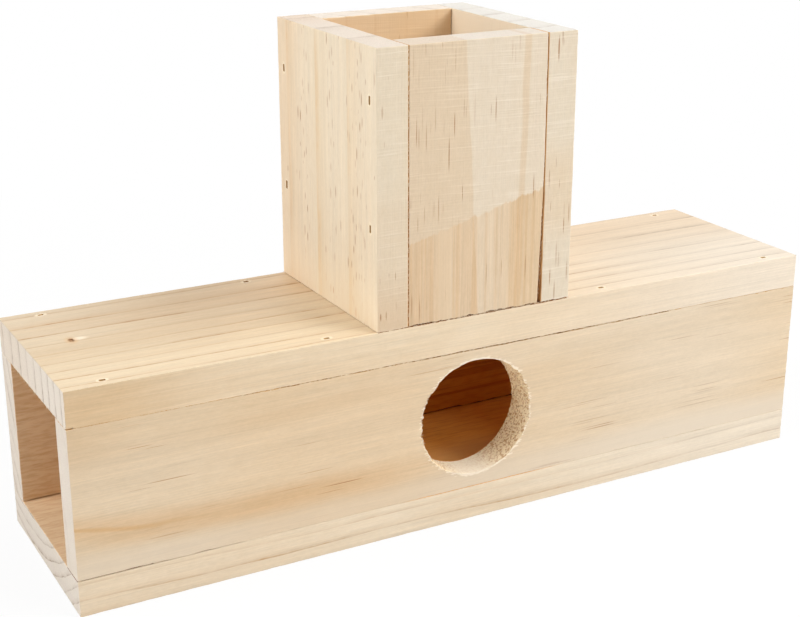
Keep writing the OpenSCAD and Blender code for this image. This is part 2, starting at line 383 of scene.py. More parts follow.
CUTS = {
    "top_board": ("XYZ", dict(
        pith=(0, 190, -5), inner_radius=178.0, ring_rate=0.0947, ring_narrowing=0.00043, ring_spread=0.0005,
        ring_shift=3.0, wander=0.9, late_start=0.55, late_amount=0.85, slow_amount=0.4, line_amount=0.62,
        edge_rings=0.1, canals=0.0, early="#E5D4BA", tone="#E1CAAB", late="#BF986E", seed=1.0)),
    "bottom_board": ("XYZ", dict(
        pith=(0, 20, 90), inner_radius=90.0, ring_rate=0.2, wander=2.0, late_start=0.5, late_amount=0.95,
        canals=0.0, early="#E3D3BB", tone="#DCC8AC", late="#BF9C74", seed=2.0)),
    "front_board": ("XYZ", dict(
        pith=(0, 150, -40), lean=(0, 0, -0.02), inner_radius=150.0, ring_rate=0.06, wander=3.0,
        late_start=0.5, late_amount=0.12, canals=0.5, canal_length=22.0, canal_width=0.4, early="#DCC7AA",
        tone="#D5BC9A", late="#C49E72", seed=3.0)),
    "back_board": ("XYZ", dict(
        pith=(0, -120, 60), lean=(0, 0, 0.02), inner_radius=130.0, ring_rate=0.16, wander=3.0, canals=0.15,
        canal_length=14.0, early="#DCC7AA", tone="#D5BC9A", late="#B98E60", seed=4.0)),
    "chimney_left_board": ("ZYX", dict(
        pith=(0, -150, 20), inner_radius=136.0, ring_rate=0.0417, ring_shift=1.0, late_start=0.5,
        late_amount=0.5, canal_spread=0.6, canal_length=4.5, canal_width=0.75, early="#E7D7BE",
        tone="#E6D2B6", late="#DCB985", rough_edge=1.0, seed=5.0)),
    "chimney_right_board": ("ZYX", dict(
        pith=(0, 150, -20), inner_radius=130.0, ring_rate=0.06, late_start=0.6, late_amount=0.4,
        canal_spread=0.75, canal_length=9.0, early="#E5D6BF", tone="#E4D1B7", late="#D0A97C", rough_edge=1.0,
        seed=6.0)),
    "chimney_front_board": ("ZXY", dict(
        late_amount=0.0, canal_length=12.0, canal_width=0.5, early="#E6D6BF", tone="#E1CBAF", tone_amount=0.1,
        seed=7.0)),
    "chimney_back_board": ("ZXY", dict(
        pith=(0, 120, 60), inner_radius=130.0, ring_rate=0.09, wander=1.5, late_start=0.6, late_amount=0.5,
        canals=0.3, canal_length=6.0, early="#E6D3B6", tone="#DFC39A", late="#C69C6A", rough_face=1.0,
        seed=8.0)),
}
FINISH = {node: board_finish(node, axes, cut) for node, (axes, cut) in CUTS.items()}
print("finishes", len(FINISH))


# %% [markdown]
# ## Stains and marks of single boards
#
# Some boards have a mark of their own. Each is a mask worked out from the place on the board, in
# millimetres from its middle, and a colour that is laid over the wood there. Painted masks would need
# pictures, and a formula stays sharp at any size. Most masks fade along one of the board's axes, so one
# function does that: the first number is where the fade starts and the second where it is full.

# %% Laying a stain
TINT, COVER, HUE, LIGHTEN = "MULTIPLY", "MIX", "COLOR", "SCREEN"


def open_finish(node):
    """A board's tree, its grain, and the place on it and the way it faces, axis by axis."""
    tree = FINISH[node].node_tree
    return tree, tree.nodes["grain"], tree.nodes["place"].outputs, tree.nodes["sides"].outputs


def fade(tree, axis, start, full, most=1.0, least=0.0, about=None):
    """A soft step along a board's axis, or along the distance from a place on that axis."""
    way = tree.nodes["place"].outputs[axis]
    if about is not None:
        way = add(tree, MATH, MINUS, [way, about])
        way = add(tree, MATH, UNSIGNED, [way])
    return add(tree, RANGE, SMOOTH, [way, start, full, least, most])


def stain(tree, blend, hex_colour, *masks):
    """Lays a colour over a board's wood where all the masks are 1."""
    mask = add(tree, MATH, TIMES, masks) if len(masks) > 1 else masks[0]
    base = tree.nodes["Principled BSDF"].inputs["Base Color"]
    mixing = {"data_type": "RGBA", "blend_type": blend}
    fill(tree, base, add(tree, MIX, mixing, [mask, base.links[0].from_socket, linear(hex_colour)]))


def drive(tree, **masks):
    """Lets masks set the inputs of a board's wood in place of constants."""
    for name, mask in masks.items():
        fill(tree, tree.nodes["wood"].inputs[name.replace("_", " ").capitalize()], mask)


print("finishes to stain", len(FINISH))

# %% [markdown]
# The chimney's front panel is tan on the left up to a growth ring that shows as one sharp edge, with
# another thin band on the right. Both lean a little and waver with the grain. They are drawn here and
# not by the rings, so that they fall where the real ones do. Resin canals crowd on the tan side and in
# one column high up on the right.

# %% Tan side of the chimney's front panel
RING_LEAN, BAND_LEAN, BAND_PLACE, WAVER = 0.064, -0.02, 18.6, 0.6
COLUMN_PLACE, COLUMN_REACH = 14.5, 2.0
tree, grain, place, sides = open_finish("chimney_front_board")
wave = grained(tree, grain, (26.0, 6.0, 6.0), 2.0)
ring = add(tree, MATH, TIMES_PLUS, [place["X"], RING_LEAN, place["Y"]])
ring = add(tree, MATH, TIMES_PLUS, [wave, WAVER, ring])
tan = add(tree, RANGE, SMOOTH, [ring, -1.6, -2.2])
band = add(tree, MATH, TIMES_PLUS, [place["X"], BAND_LEAN, place["Y"]])
band = add(tree, MATH, TIMES_PLUS, [wave, WAVER, band])
band = add(tree, MATH, MINUS, [band, BAND_PLACE])
band = add(tree, MATH, UNSIGNED, [band])
band = add(tree, RANGE, SMOOTH, [band, 1.7, 0.9])
tan = add(tree, MATH, LARGER, [tan, band])
stain(tree, TINT, "#FAF3EA", tan)
column = add(tree, MATH, CLOSE_TO, [place["Y"], COLUMN_PLACE, COLUMN_REACH])
column = add(tree, MATH, TIMES, [column, fade(tree, "X", 20.0, 32.0)])
resin = add(tree, MATH, LARGER, [fade(tree, "Y", -3.0, -12.0, 0.7, 0.12), column])
print("panel", len(tree.nodes), "nodes so far")

# %% [markdown]
# Above a slanting line the panel is rough from the saw and paler. Below that line it was planed, so the
# grain shows clear there in warm streaks, and most canals are closed. One mask for the planed part
# drives the roughness of the face and all of its tones.

# %% Planed foot of the chimney's front panel
PLANED_SLOPE = 0.253
PLANED_RISE = -12.5
PLANED_BLUR = 0.5
rise = add(tree, MATH, TIMES_PLUS, [place["Y"], -PLANED_SLOPE, place["X"]])
waver = add(tree, MATH, TIMES, [place["Y"], 0.3])
waver = add(tree, NOISE, {"noise_dimensions": "1D", "normalize": False},
            {"W": waver, "Scale": 1.0, "Detail": 3.0})
rise = add(tree, MATH, TIMES_PLUS, [waver, 1.1, rise])
planed = add(tree, RANGE, SMOOTH, [rise, PLANED_RISE + PLANED_BLUR, PLANED_RISE - PLANED_BLUR])
sawn = add(tree, MATH, MINUS, [1.0, planed])
closed = add(tree, MATH, TIMES_PLUS, [planed, -0.4, 1.0])
resin = add(tree, MATH, TIMES, [resin, closed])
drive(tree, rough_face=sawn, canals=resin, canal_spread=fade(tree, "X", 22.0, 10.0, least=0.35, about=4.0))
stain(tree, TINT, "#F2ECE5", planed)
streaks = grained(tree, grain, (150.0, 2.2, 30.0), 4.0)
stain(tree, TINT, "#FBF5ED", add(tree, RANGE, SMOOTH, [streaks, -0.25, 0.45]), planed)
stain(tree, COVER, "#E3D2B8", fade(tree, "Y", 3.6, 2.2, 0.35, about=-12.5), planed)
stain(tree, TINT, "#F7EEDF", fade(tree, "Y", 2.0, 24.0, 0.8), planed)
print("panel", len(tree.nodes), "nodes")

# %% [markdown]
# The chimney's left board has its canals in three columns, and more of them at the foot of its front edge.
# Its foot is lighter and more yellow than the rest, which is painted bounce light from the deck, and its back
# is more tan. The right board has most canals low down, and its front edge is warmer halfway up.

# %% Tones of the chimney's side boards
CANAL_COLUMNS = ((17.0, 4.0), (-5.0, 4.0), (-26.0, 8.0))
tree, grain, place, sides = open_finish("chimney_left_board")
foot = fade(tree, "X", -22.0, -48.0)
columns = [fade(tree, "Y", reach, 0.4 * reach, about=column) for column, reach in CANAL_COLUMNS]
open_foot = add(tree, MATH, TIMES, [foot, sides["Y"]])
drive(tree, canals=add(tree, MATH, LARGER, [0.12, *columns, open_foot]))
# Painted bounce light: the foot of the board's faces is lightened and made more yellow, as light from the
# deck would do.
stain(tree, LIGHTEN, "#BE8C5F", foot, sides["Z"])
lower = add(tree, MATH, TIMES_PLUS, [foot, 0.5, fade(tree, "X", 6.0, -10.0, 0.27)])
stain(tree, TINT, "#F4E6D9", lower, sides["Y"])
stain(tree, TINT, "#FDF6F0", fade(tree, "Y", 5.0, 38.0))
tree, grain, place, sides = open_finish("chimney_right_board")
drive(tree, canals=fade(tree, "X", 12.0, -6.0, least=0.4))
stain(tree, TINT, "#FCF2E6", fade(tree, "X", 22.0, 8.0, 0.55, about=-8.0), sides["Y"])
print("side boards, columns of canals", len(CANAL_COLUMNS))

# %% [markdown]
# Hardly any white light reaches the narrow gaps on both sides of the panel: what comes out has gone
# from wood to wood and is a warm brown. More bounces of light would bring some of it, slowly, so the
# sides of the gaps are tinted instead.

# %% Warm gaps beside the panel
GAP_DEPTH = -26.5
GAP_SIDES = {"chimney_left_board": (ABOVE, 5.8), "chimney_right_board": (BELOW, -5.8)}
tree, grain, place, sides = open_finish("chimney_front_board")
stain(tree, TINT, "#E9C496", add(tree, MATH, ABOVE, [sides["Y"], 0.7]))
for node, (beyond, limit) in GAP_SIDES.items():
    tree, grain, place, sides = open_finish(node)
    inner = add(tree, MATH, beyond, [place["Z"], limit])
    before = add(tree, MATH, BELOW, [place["Y"], GAP_DEPTH])
    stain(tree, TINT, "#F2CE9E", inner, before)
print("gap sides", 1 + len(GAP_SIDES))

# %% [markdown]
# The deck is paler at its right end. Left of the chimney its top is darker and warmer, most so towards the
# back: this is painted shade of the chimney's shadow and of the light falling off. These are slow changes
# over the whole board, so each is a fade along one axis, or the product of two.

# %% Tones of the deck
tree, grain, place, sides = open_finish("top_board")
stain(tree, HUE, "#E5DACB", fade(tree, "X", 0.0, 140.0, 0.75))
# Painted shade: warmer and darker towards the back, most at the left end.
stain(tree, TINT, "#F5E9DA", fade(tree, "Y", -25.0, 30.0, 0.8), fade(tree, "X", -150.0, -80.0, least=0.4))
# Painted shade: the deck's top is darker left of the chimney, most towards the back.
stain(tree, TINT, "#EDECEA", fade(tree, "X", -45.0, -90.0), fade(tree, "Y", -35.0, 0.0, least=0.5),
      sides["Z"])
# Painted shade, slight: the deck's top left of the chimney, towards the front.
stain(tree, TINT, "#FDF9F1", fade(tree, "X", 20.0, -40.0), fade(tree, "Y", 30.0, -25.0), sides["Z"])
print("deck", len(tree.nodes), "nodes so far")

# %% [markdown]
# Under the chimney's walls the deck is darkened to a deep brown: painted shade, as in the gaps. It shows only
# where a wall's foot stands open. The walls' own boxes say where that is.

# %% Painted shade on the deck under the chimney's walls
wall_low, wall_high = (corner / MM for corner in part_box("chimney_right_board"))
shaft_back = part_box("chimney_back_board")[0].y / MM
spot = add(tree, VECTOR, UNSIGNED, [grain])
spot = add(tree, SPLIT, None, [spot]).outputs
under_x = add(tree, MATH, BELOW, [spot["X"], wall_high.x - 0.3])
under_y = add(tree, MATH, BELOW, [spot["Y"], wall_high.y - 0.1])
beyond_x = add(tree, MATH, ABOVE, [spot["X"], wall_low.x])
beyond_y = add(tree, MATH, ABOVE, [spot["Y"], shaft_back])
wall = add(tree, MATH, LARGER, [beyond_x, beyond_y])
# Painted shade: dark brown on the deck where the walls stand.
stain(tree, TINT, "#B2762F", wall, under_x, under_y)
print("shaft", [round(2 * half, 1) for half in (wall_low.x, shaft_back)], "mm")

# %% [markdown]
# The deck's front edge is tan up to a slanting line near the middle, where a growth ring leaves the
# board, and most so at the left corner. Streaky noise moves the line and makes the tan uneven.

# %% Tan part of the deck's front edge
edge = add(tree, MATH, ABOVE, [sides["Y"], 0.7])
front = add(tree, MATH, BELOW, [place["Y"], -30.0])
streaky = grained(tree, grain, (40.0, 3.0, 3.0), 3.0)
reach = add(tree, MATH, TIMES_PLUS, [place["Z"], -0.9, place["X"]])
reach = add(tree, MATH, TIMES_PLUS, [streaky, 6.0, reach])
tan = add(tree, RANGE, SMOOTH, [reach, -5.0, -13.0, 0.0, 0.25])
depth = add(tree, RANGE, SMOOTH, [streaky, -0.6, 0.6, 0.5, 1.3])
tan = add(tree, MATH, TIMES, [tan, depth])
tan = add(tree, MATH, PLUS, [tan, fade(tree, "X", -92.0, -146.0, 0.68), 0.14])
stain(tree, TINT, "#F0E4D3", tan, edge, front)
print("deck", len(tree.nodes), "nodes so far")

# %% [markdown]
# A pin knot sits near the deck's left end, with a pale tear beside it. A knot is the root of a small
# branch: brown in the heart, with a halo of resin. Two ovals, one in the other, give that, and a third
# gives the tear. A pit is cut into the mesh later.

# %% Pin knot on the deck
KNOT = Vector((-134.0, 4.8, 0.0))
TEAR = (2.6, 0.6, 0.0)
around = add(tree, VECTOR, MINUS, [grain, KNOT])
tear = add(tree, VECTOR, MINUS, [around, TEAR])
tear = add(tree, VECTOR, TIMES, [tear, (0.45, 0.9, 0.0)])
tear = add(tree, VECTOR, LENGTH, [tear])
stain(tree, COVER, "#F2E3CC", add(tree, RANGE, SMOOTH, [tear, 2.0, 0.5, 0.0, 0.75]))
around = add(tree, VECTOR, TIMES, [around, (1.0, 0.62, 0.0)])
around = add(tree, VECTOR, LENGTH, [around])
stain(tree, COVER, "#D3AC7C", add(tree, RANGE, SMOOTH, [around, 3.0, 1.2, 0.0, 0.5]))
stain(tree, COVER, "#9A6A3C", add(tree, RANGE, SMOOTH, [around, 1.5, 0.7, 0.0, 0.7]))
print("deck", len(tree.nodes), "nodes")

# %% [markdown]
# The front board is paler low down, cooler on the right and warmer left of the hole. A resin streak
# runs along its lower part from the left end. It drops quickly at first, then follows the grain as a
# soft band and fades before the hole. An exponential curve gives that course with two values.

# %% Tones and resin streak of the front board
STREAK_START, STREAK_FALL = -150.0, 26.0
STREAK_DROP, STREAK_LEVEL = 6.2, -14.6
tree, grain, place, sides = open_finish("front_board")
stain(tree, COVER, "#DBCEBC", fade(tree, "Z", -14.0, -24.0, 0.4), fade(tree, "X", -20.0, 130.0, 1.9, 1.2))
stain(tree, HUE, "#DCCFBC", fade(tree, "X", 20.0, 90.0, 0.4), fade(tree, "X", 150.0, 105.0, least=0.2))
stain(tree, TINT, "#FFFAF3", fade(tree, "X", 60.0, 20.0, 0.7, about=-55.0))
stain(tree, TINT, "#F0E4D3", fade(tree, "X", -120.0, -150.0), fade(tree, "Z", 2.0, 24.0, 0.4), sides["Y"])
fall = add(tree, MATH, TIMES_PLUS, [place["X"], -1 / STREAK_FALL, STREAK_START / STREAK_FALL])
fall = add(tree, MATH, {"operation": "EXPONENT"}, [fall])
course = add(tree, MATH, TIMES_PLUS, [fall, STREAK_DROP, STREAK_LEVEL])
wave = grained(tree, grain, (30.0, 12.0, 12.0), 2.0)
course = add(tree, MATH, TIMES_PLUS, [wave, 1.2, course])
beside = add(tree, MATH, MINUS, [place["Z"], course])
beside = add(tree, MATH, UNSIGNED, [beside])
line = add(tree, RANGE, SMOOTH, [beside, 1.2, 0.1, 0.0, 0.35])
line = add(tree, MATH, TIMES, [line, fade(tree, "X", -95.0, -135.0)])
band = add(tree, RANGE, SMOOTH, [beside, 8.0, 1.0, 0.0, 0.37])
band = add(tree, MATH, TIMES, [band, fade(tree, "X", 10.0, -60.0)])
streak = add(tree, MATH, PLUS, [line, band])
stain(tree, TINT, "#EFD1A7", streak, sides["Y"])
upper = add(tree, MATH, ABOVE, [place["Z"], 26.0])
level = add(tree, MATH, ABOVE, [sides["Z"], 0.6])
# Painted shade: the board's upper edge, which shows in the seam under the deck, is tinted brown as the other
# gaps are.
stain(tree, TINT, "#E6C69A", upper, level)
print("front board", len(tree.nodes), "nodes so far")

# %% [markdown]
# The wall of the entry hole is torn end grain: pale woolly fibres with dark pits between them, most at the
# two sides, where the saw crossed the fibres. The wall is made paler than the wood alone would be, as painted
# light from the front. Round the rim the torn fibres are pale, with a painted highlight along the torn edge.
# The hole's place and size come from the part's own mount, so wood and mesh agree.

# %% Torn wall and rim of the entry hole
entry = next(m for m in frame["record"]["mounts"] if m["name"] == "entry_hole")
ENTRY_CENTRE = Vector(entry["pos_m"])
ENTRY_RADIUS = entry["dims"]["r_mm"] * MM
hole_radius = ENTRY_RADIUS / MM
hole_middle = (ENTRY_CENTRE - sum(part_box("front_board"), Vector()) / 2) / MM
spoke = add(tree, VECTOR, MINUS, [grain, hole_middle])
spoke = add(tree, VECTOR, TIMES, [spoke, (1.0, 0.0, 1.0)])
reach = add(tree, VECTOR, LENGTH, [spoke])
spoke = add(tree, VECTOR, UNIT, [spoke])
spoke = add(tree, VECTOR, UNSIGNED, [spoke])
spoke = add(tree, SPLIT, None, [spoke])
cross = add(tree, RANGE, SMOOTH, [spoke.outputs["X"], 0.1, 0.7, 0.15, 1.0])
inside = add(tree, MATH, BELOW, [reach, hole_radius + 2.0])
turned = add(tree, RANGE, SMOOTH, [sides["Y"], 0.9, 0.6])
wall = add(tree, MATH, TIMES, [inside, turned])
# Pale torn fibres, pushed paler as painted light on the wall.
stain(tree, COVER, "#FFF5E0", wall, 0.9)
stain(tree, COVER, "#FFE9C0", cross, wall, 0.75)
pits = grained(tree, grain, (0.85, 0.85, 0.85), 2.0)
stain(tree, COVER, "#C08C4C", add(tree, RANGE, SMOOTH, [pits, -0.02, 0.32, 0.0, 0.72]), cross, wall)
outside = add(tree, MATH, ABOVE, [sides["Y"], 0.8])
front = add(tree, MATH, BELOW, [place["Y"], -3.0])
fray = grained(tree, grain, (2.2, 0.9, 0.55), 1.0)
longest = add(tree, MATH, TIMES_PLUS, [cross, 1.3, 0.4])
fray = add(tree, MATH, TIMES_PLUS, [fray, longest, reach])
rim = add(tree, RANGE, SMOOTH, [fray, hole_radius + 0.9, hole_radius + 0.3, 0.0, 0.55])
# Pale torn fibres and a painted highlight round the rim.
stain(tree, COVER, "#FBF0DF", rim, outside, front)
print("entry hole", round(2 * hole_radius, 1), "mm wide")

# %% [markdown]
# The chimney is short and open, and inside it the light goes from wood to wood and turns a warm orange: this
# is painted bounce light over each board's inner surface. Its rim is sawn end grain, a little different in
# tone from board to board. A mask for a hollow takes the distances from its middle, so that it covers each
# board's inner surface and nothing else.

# %% Painted bounce light inside the chimney
TUNNEL_MIDDLE = (0.0, 0.0, 40.0)
SKIN = 0.2


def hollow(node, **reach):
    """1 on a board's surfaces within reach of the hollow's middle, and the distance along the tunnel."""
    tree, grain, place, sides = open_finish(node)
    where = add(tree, POSITION)
    where = add(tree, VECTOR, SCALE, [where.outputs["Object"], 1 / MM])
    where = add(tree, VECTOR, MINUS, [where, TUNNEL_MIDDLE])
    where = add(tree, VECTOR, UNSIGNED, [where])
    where = add(tree, SPLIT, None, [where]).outputs
    near = [add(tree, MATH, BELOW, [where[axis], limit]) for axis, limit in reach.items()]
    not_end = add(tree, MATH, BELOW, [sides["X"], 0.5])
    return add(tree, MATH, TIMES, [*near, not_end]), where["X"]


# For each board: the painted bounce light inside, how strong it is, and the tint of the rim.
INSIDE_CHIMNEY = {
    "chimney_left_board": ("#EDCBA0", 0.7, "#F1EDE9"),
    "chimney_right_board": ("#FFF2DA", 0.9, "#F4FAFF"),
    "chimney_front_board": ("#EDCBA0", 0.7, "#F0EEEB"),
    "chimney_back_board": ("#EDCBA0", 0.7, "#F9F8F7"),
}
for node, (painted_inside, strength, rim_tint) in INSIDE_CHIMNEY.items():
    tree, grain, place, sides = open_finish(node)
    inside = hollow(node, X=wall_low.x + SKIN, Y=shaft_back + SKIN)[0]
    # Painted bounce light: a warm orange over each board's inner surface.
    stain(tree, COVER, painted_inside, inside, strength)
    stain(tree, TINT, rim_tint, add(tree, MATH, ABOVE, [sides["X"], 0.7]))
    print(node, len(tree.nodes), "nodes")

# %% [markdown]
# Inside the tunnel hardly any light gets in, so the wood there is painted a deep warm brown: painted shade
# and bounce light. The colour deepens from the two open ends to the middle. Dark lines along the grain and a
# furry unevenness show that these faces are as rough as the saw left them.

# %% Painted shade inside the tunnel
# For each board: how far it reaches from the middle, the painted colour inside and how strong it is, the
# painted shade tint deep inside, and how strong the dark lines are.
HALF_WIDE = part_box("back_board")[0].y / MM
INSIDE_TUNNEL = {
    "top_board": (HALF_WIDE + SKIN, "#F8D2A4", 0.6, "#F3C262", 0.3),
    "bottom_board": (HALF_WIDE + 2.0, "#FFE2BA", 0.88, "#FED27C", 0.3),
    "front_board": (HALF_WIDE + SKIN, "#F8D2A4", 0.6, "#F3C262", 0.3),
    "back_board": (HALF_WIDE + 2.0, "#F8D2A4", 0.6, "#F3C262", 0.8),
}
for node, (half_wide, painted_inside, strength, shade_tint, lined) in INSIDE_TUNNEL.items():
    tree, grain, place, sides = open_finish(node)
    inside, away = hollow(node, Y=half_wide, Z=HALF_WIDE + SKIN)
    # Painted shade and bounce light: the inside of the tunnel is covered with a warm colour.
    stain(tree, COVER, painted_inside, inside, strength)
    deep = add(tree, RANGE, SMOOTH, [away, 130.0, 50.0])
    deep = add(tree, MATH, TIMES, [inside, deep])
    # Painted shade: the colour deepens from the open ends to the middle.
    stain(tree, TINT, shade_tint, deep)
    lines = grained(tree, grain, (80.0, 1.6, 1.6), 3.0)
    lines = add(tree, RANGE, SMOOTH, [lines, 0.05, 0.5, 0.0, lined])
    # The dark grain lines grow stronger with the painted shade deep inside.
    darker = add(tree, MATH, TIMES_PLUS, [deep, 0.75, 0.25])
    stain(tree, TINT, "#DDBB94", lines, darker, inside)
    furry = grained(tree, grain, (6.0, 1.0, 1.0), 3.0)
    stain(tree, TINT, "#E3CBAB", add(tree, RANGE, SMOOTH, [furry, -0.3, 0.5, 0.0, 0.4]), inside)
    print(node, len(tree.nodes), "nodes")

# %% [markdown]
# Along the floor inside, the foot of the back board ends in a dark broken line: painted shade in the open
# joint. It is a narrow band at the board's lower edge that noise breaks into dots.

# %% Painted shade along the foot of the back board
tree, grain, place, sides = open_finish("back_board")
dots = grained(tree, grain, (4.0, 4.0, 1.0), 2.0)
joint_shade = add(tree, MATH, TIMES_PLUS, [dots, 0.5, place["Z"]])
joint_shade = add(tree, RANGE, SMOOTH, [joint_shade, -26.1, -26.5, 0.0, 0.9])
inner = add(tree, MATH, BELOW, [place["Y"], -3.0])
# Painted shade: a dark dotted line in the joint along the floor.
stain(tree, TINT, "#8A5A34", joint_shade, inner, fade(tree, "X", 110.0, 60.0, about=0.0))
print("back board", len(tree.nodes), "nodes")

# %% [markdown]
# Where the floor board carries the front board, its top is darkened to brown, painted shade that shows only
# where the seam between them is open. Behind the entry hole the floor is a pinker brown. Its front edge is a
# little warmer on the left and cooler on the right.

# %% Tones of the floor board
tree, grain, place, sides = open_finish("bottom_board")
upper = add(tree, MATH, ABOVE, [place["Z"], 6.3])
behind_edge = add(tree, MATH, ABOVE, [place["Y"], -38.4])
carried = add(tree, MATH, BELOW, [place["Y"], -27.2])
# Painted shade: brown where the seam over the floor board is open.
stain(tree, TINT, "#8F6034", upper, behind_edge, carried)
# A pinker brown on the floor behind the entry hole.
stain(tree, COVER, "#E4AA68", fade(tree, "X", 40.0, 20.0, 0.8, about=4.0), fade(tree, "Y", 4.0, -12.0),
      upper)
edge = add(tree, MATH, ABOVE, [sides["Y"], 0.7])
stain(tree, TINT, "#FCF5EC", fade(tree, "X", -20.0, -90.0, 0.4), edge)
stain(tree, HUE, "#E2D8C9", fade(tree, "X", 0.0, 120.0, 0.55), edge)
print("floor board", len(tree.nodes), "nodes")


# %% [markdown]
# ## A sawn board
#
# A new board has sharp arrises that soon chip and wear, so no edge is one clean line. The board is a
# grid of points on a box, a millimetre or two apart and much closer in the last millimetre before an
# edge. Each point near an edge is pulled in to a small round, and noise makes that round larger where
# the wood has chipped. The rule is the same for all eight boards, so it is one geometry tree with the
# board's two corners as inputs. The attribute "arris" tells the finish where the round is.

# %% Sawn board tree
MOVE, BOX, HERE = "GeometryNodeSetPosition", "GeometryNodeMeshCube", "GeometryNodeInputPosition"
MAKE_REAL, STREW = "GeometryNodeRealizeInstances", "GeometryNodeInstanceOnPoints"
RANDOM, VECTORS = "FunctionNodeRandomValue", {"data_type": "FLOAT_VECTOR"}
EDGE_ZONE = 1.2 * MM
EDGE_ROWS = 5


def new_tree(name, output, **inputs):
    """A geometry tree with named inputs and one output, and the sockets that bring its inputs."""
    tree = bpy.data.node_groups.new(name, "GeometryNodeTree")
    for key, kind in inputs.items():
        title = key.replace("_", " ").capitalize()
        tree.interface.new_socket(title, in_out="INPUT", socket_type="NodeSocket" + kind)
    tree.interface.new_socket(output, in_out="OUTPUT", socket_type="NodeSocketGeometry")
    return tree, tree.nodes.new("NodeGroupInput").outputs


sawn_board, wanted = new_tree(
    "sawn_board", "Board", low="Vector", high="Vector", rows="Vector", arris="Float", chip="Float",
    chip_size="Vector", taper_foot="Float", taper_rim="Float", seed="Float", finish="Material")
rows = add(sawn_board, SPLIT, None, [wanted["Rows"]]).outputs
grid = add(sawn_board, BOX, None, [(1, 1, 1), rows["X"], rows["Y"], rows["Z"]])
here = add(sawn_board, HERE)
share = add(sawn_board, VECTOR, PLUS, [here, (0.5, 0.5, 0.5)])
print("edge zone", round(EDGE_ZONE / MM, 2), "mm in", EDGE_ROWS, "rows")

# %% [markdown]
# A bevel would round the edges evenly and leave large faces with no points to move. Three ranges spread
# the grid's rows instead: close together at both ends of each axis, even in between.

# %% Rows close together near the edges
size = add(sawn_board, VECTOR, MINUS, [wanted["High"], wanted["Low"]])
zone = (EDGE_ZONE, EDGE_ZONE, EDGE_ZONE)
middle = add(sawn_board, VECTOR, MINUS, [size, zone, zone])
near = add(sawn_board, VECTOR, DIVIDE, [(EDGE_ROWS, EDGE_ROWS, EDGE_ROWS), wanted["Rows"]])
far = add(sawn_board, VECTOR, MINUS, [(1, 1, 1), near])
placed = wanted["Low"]
for begin, finish, length in (((0, 0, 0), near, zone), (near, far, middle), (far, (1, 1, 1), zone)):
    part = add(sawn_board, RANGE, VECTORS, [share, begin, finish])
    part = add(sawn_board, VECTOR, TIMES, [part, length])
    placed = add(sawn_board, VECTOR, PLUS, [placed, part])
print("board tree", len(sawn_board.nodes), "nodes so far")

# %% [markdown]
# The board's core is its box, drawn in by the arris and the chips. A point outside the core goes to the
# core's nearest point and from there outwards by the same amount, which rounds every edge and corner.

# %% Rounded and chipped arrises
chip_place = add(sawn_board, VECTOR, DIVIDE, [placed, wanted["Chip size"]])
chips = add(sawn_board, NOISE, {"noise_dimensions": "4D"},
            {"Vector": chip_place, "W": wanted["Seed"], "Scale": 1.0, "Detail": 3.0})
chips = add(sawn_board, RANGE, None, [chips, 0.45, 0.8])
inset = add(sawn_board, MATH, TIMES_PLUS, [chips, wanted["Chip"], wanted["Arris"]])
inset = add(sawn_board, JOIN, None, [inset, inset, inset])
core_low = add(sawn_board, VECTOR, PLUS, [wanted["Low"], inset])
core_high = add(sawn_board, VECTOR, MINUS, [wanted["High"], inset])
core = add(sawn_board, VECTOR, LARGER, [placed, core_low])
core = add(sawn_board, VECTOR, SMALLER, [core, core_high])
outward = add(sawn_board, VECTOR, MINUS, [placed, core])
outward = add(sawn_board, VECTOR, UNIT, [outward])
skin = add(sawn_board, VECTOR, TIMES_PLUS, [outward, inset, core])
print("board tree", len(sawn_board.nodes), "nodes so far")


# %% [markdown]
# The chimney's front panel is a little narrower at its foot than at its rim, so the seam on its right
# opens downwards. A taper along x gives that, and is nothing for the other boards. Then the tree ends
# as all five do: with instances made real and a finish on every face.

# %% Taper, then the plain mesh
def end_tree(tree, geometry, finish):
    """Ends a geometry tree: instances made real, a finish on every face, and the output."""
    real = add(tree, MAKE_REAL, None, [geometry])
    dressed = add(tree, "GeometryNodeSetMaterial", None, {"Geometry": real, "Material": finish})
    add(tree, "NodeGroupOutput", None, [dressed])
    print(tree.name, "tree", len(tree.nodes), "nodes")


step = add(sawn_board, SPLIT, None, [share]).outputs
upward = add(sawn_board, RANGE, SMOOTH, [step["Z"], 0.0, 0.55])
taper = add(sawn_board, MIX, None, [upward, wanted["Taper foot"], wanted["Taper rim"]])
taper = add(sawn_board, MATH, TIMES, [taper, step["X"]])
taper = add(sawn_board, JOIN, None, [taper])
skin = add(sawn_board, VECTOR, PLUS, [skin, taper])
sides = add(sawn_board, VECTOR, UNSIGNED, [outward])
flatness = add(sawn_board, MATH, LARGER, list(add(sawn_board, SPLIT, None, [sides]).outputs))
bend = add(sawn_board, RANGE, None, [flatness, 1.0, 0.75])
marked = add(sawn_board, "GeometryNodeStoreNamedAttribute", {"data_type": "FLOAT", "domain": "POINT"},
             {"Geometry": grid.outputs["Mesh"], "Name": "arris", "Value": bend})
shaped = add(sawn_board, MOVE, None, {"Geometry": marked, "Position": skin})
end_tree(sawn_board, shaped, wanted["Finish"])


# %% [markdown]
# ## From a tree to a plain mesh
#
# A geometry tree lives in a modifier. The part needs plain meshes, so each tree runs once on a holder
# object, its result is copied, and the holder goes away with its modifier.

# %% Growing a piece
def put(name, data):
    """Puts an object with this data into the scene, at the origin."""
    piece = bpy.data.objects.new(name, data)
    scene.collection.objects.link(piece)
    return piece


def settle(holder, name):
    """Keeps what an object's modifiers give as a plain mesh object, and removes the object."""
    evaluated = holder.evaluated_get(bpy.context.evaluated_depsgraph_get())
    mesh = bpy.data.meshes.new_from_object(evaluated)
    bpy.data.objects.remove(holder)
    mesh.name = name
    return put(name, mesh)


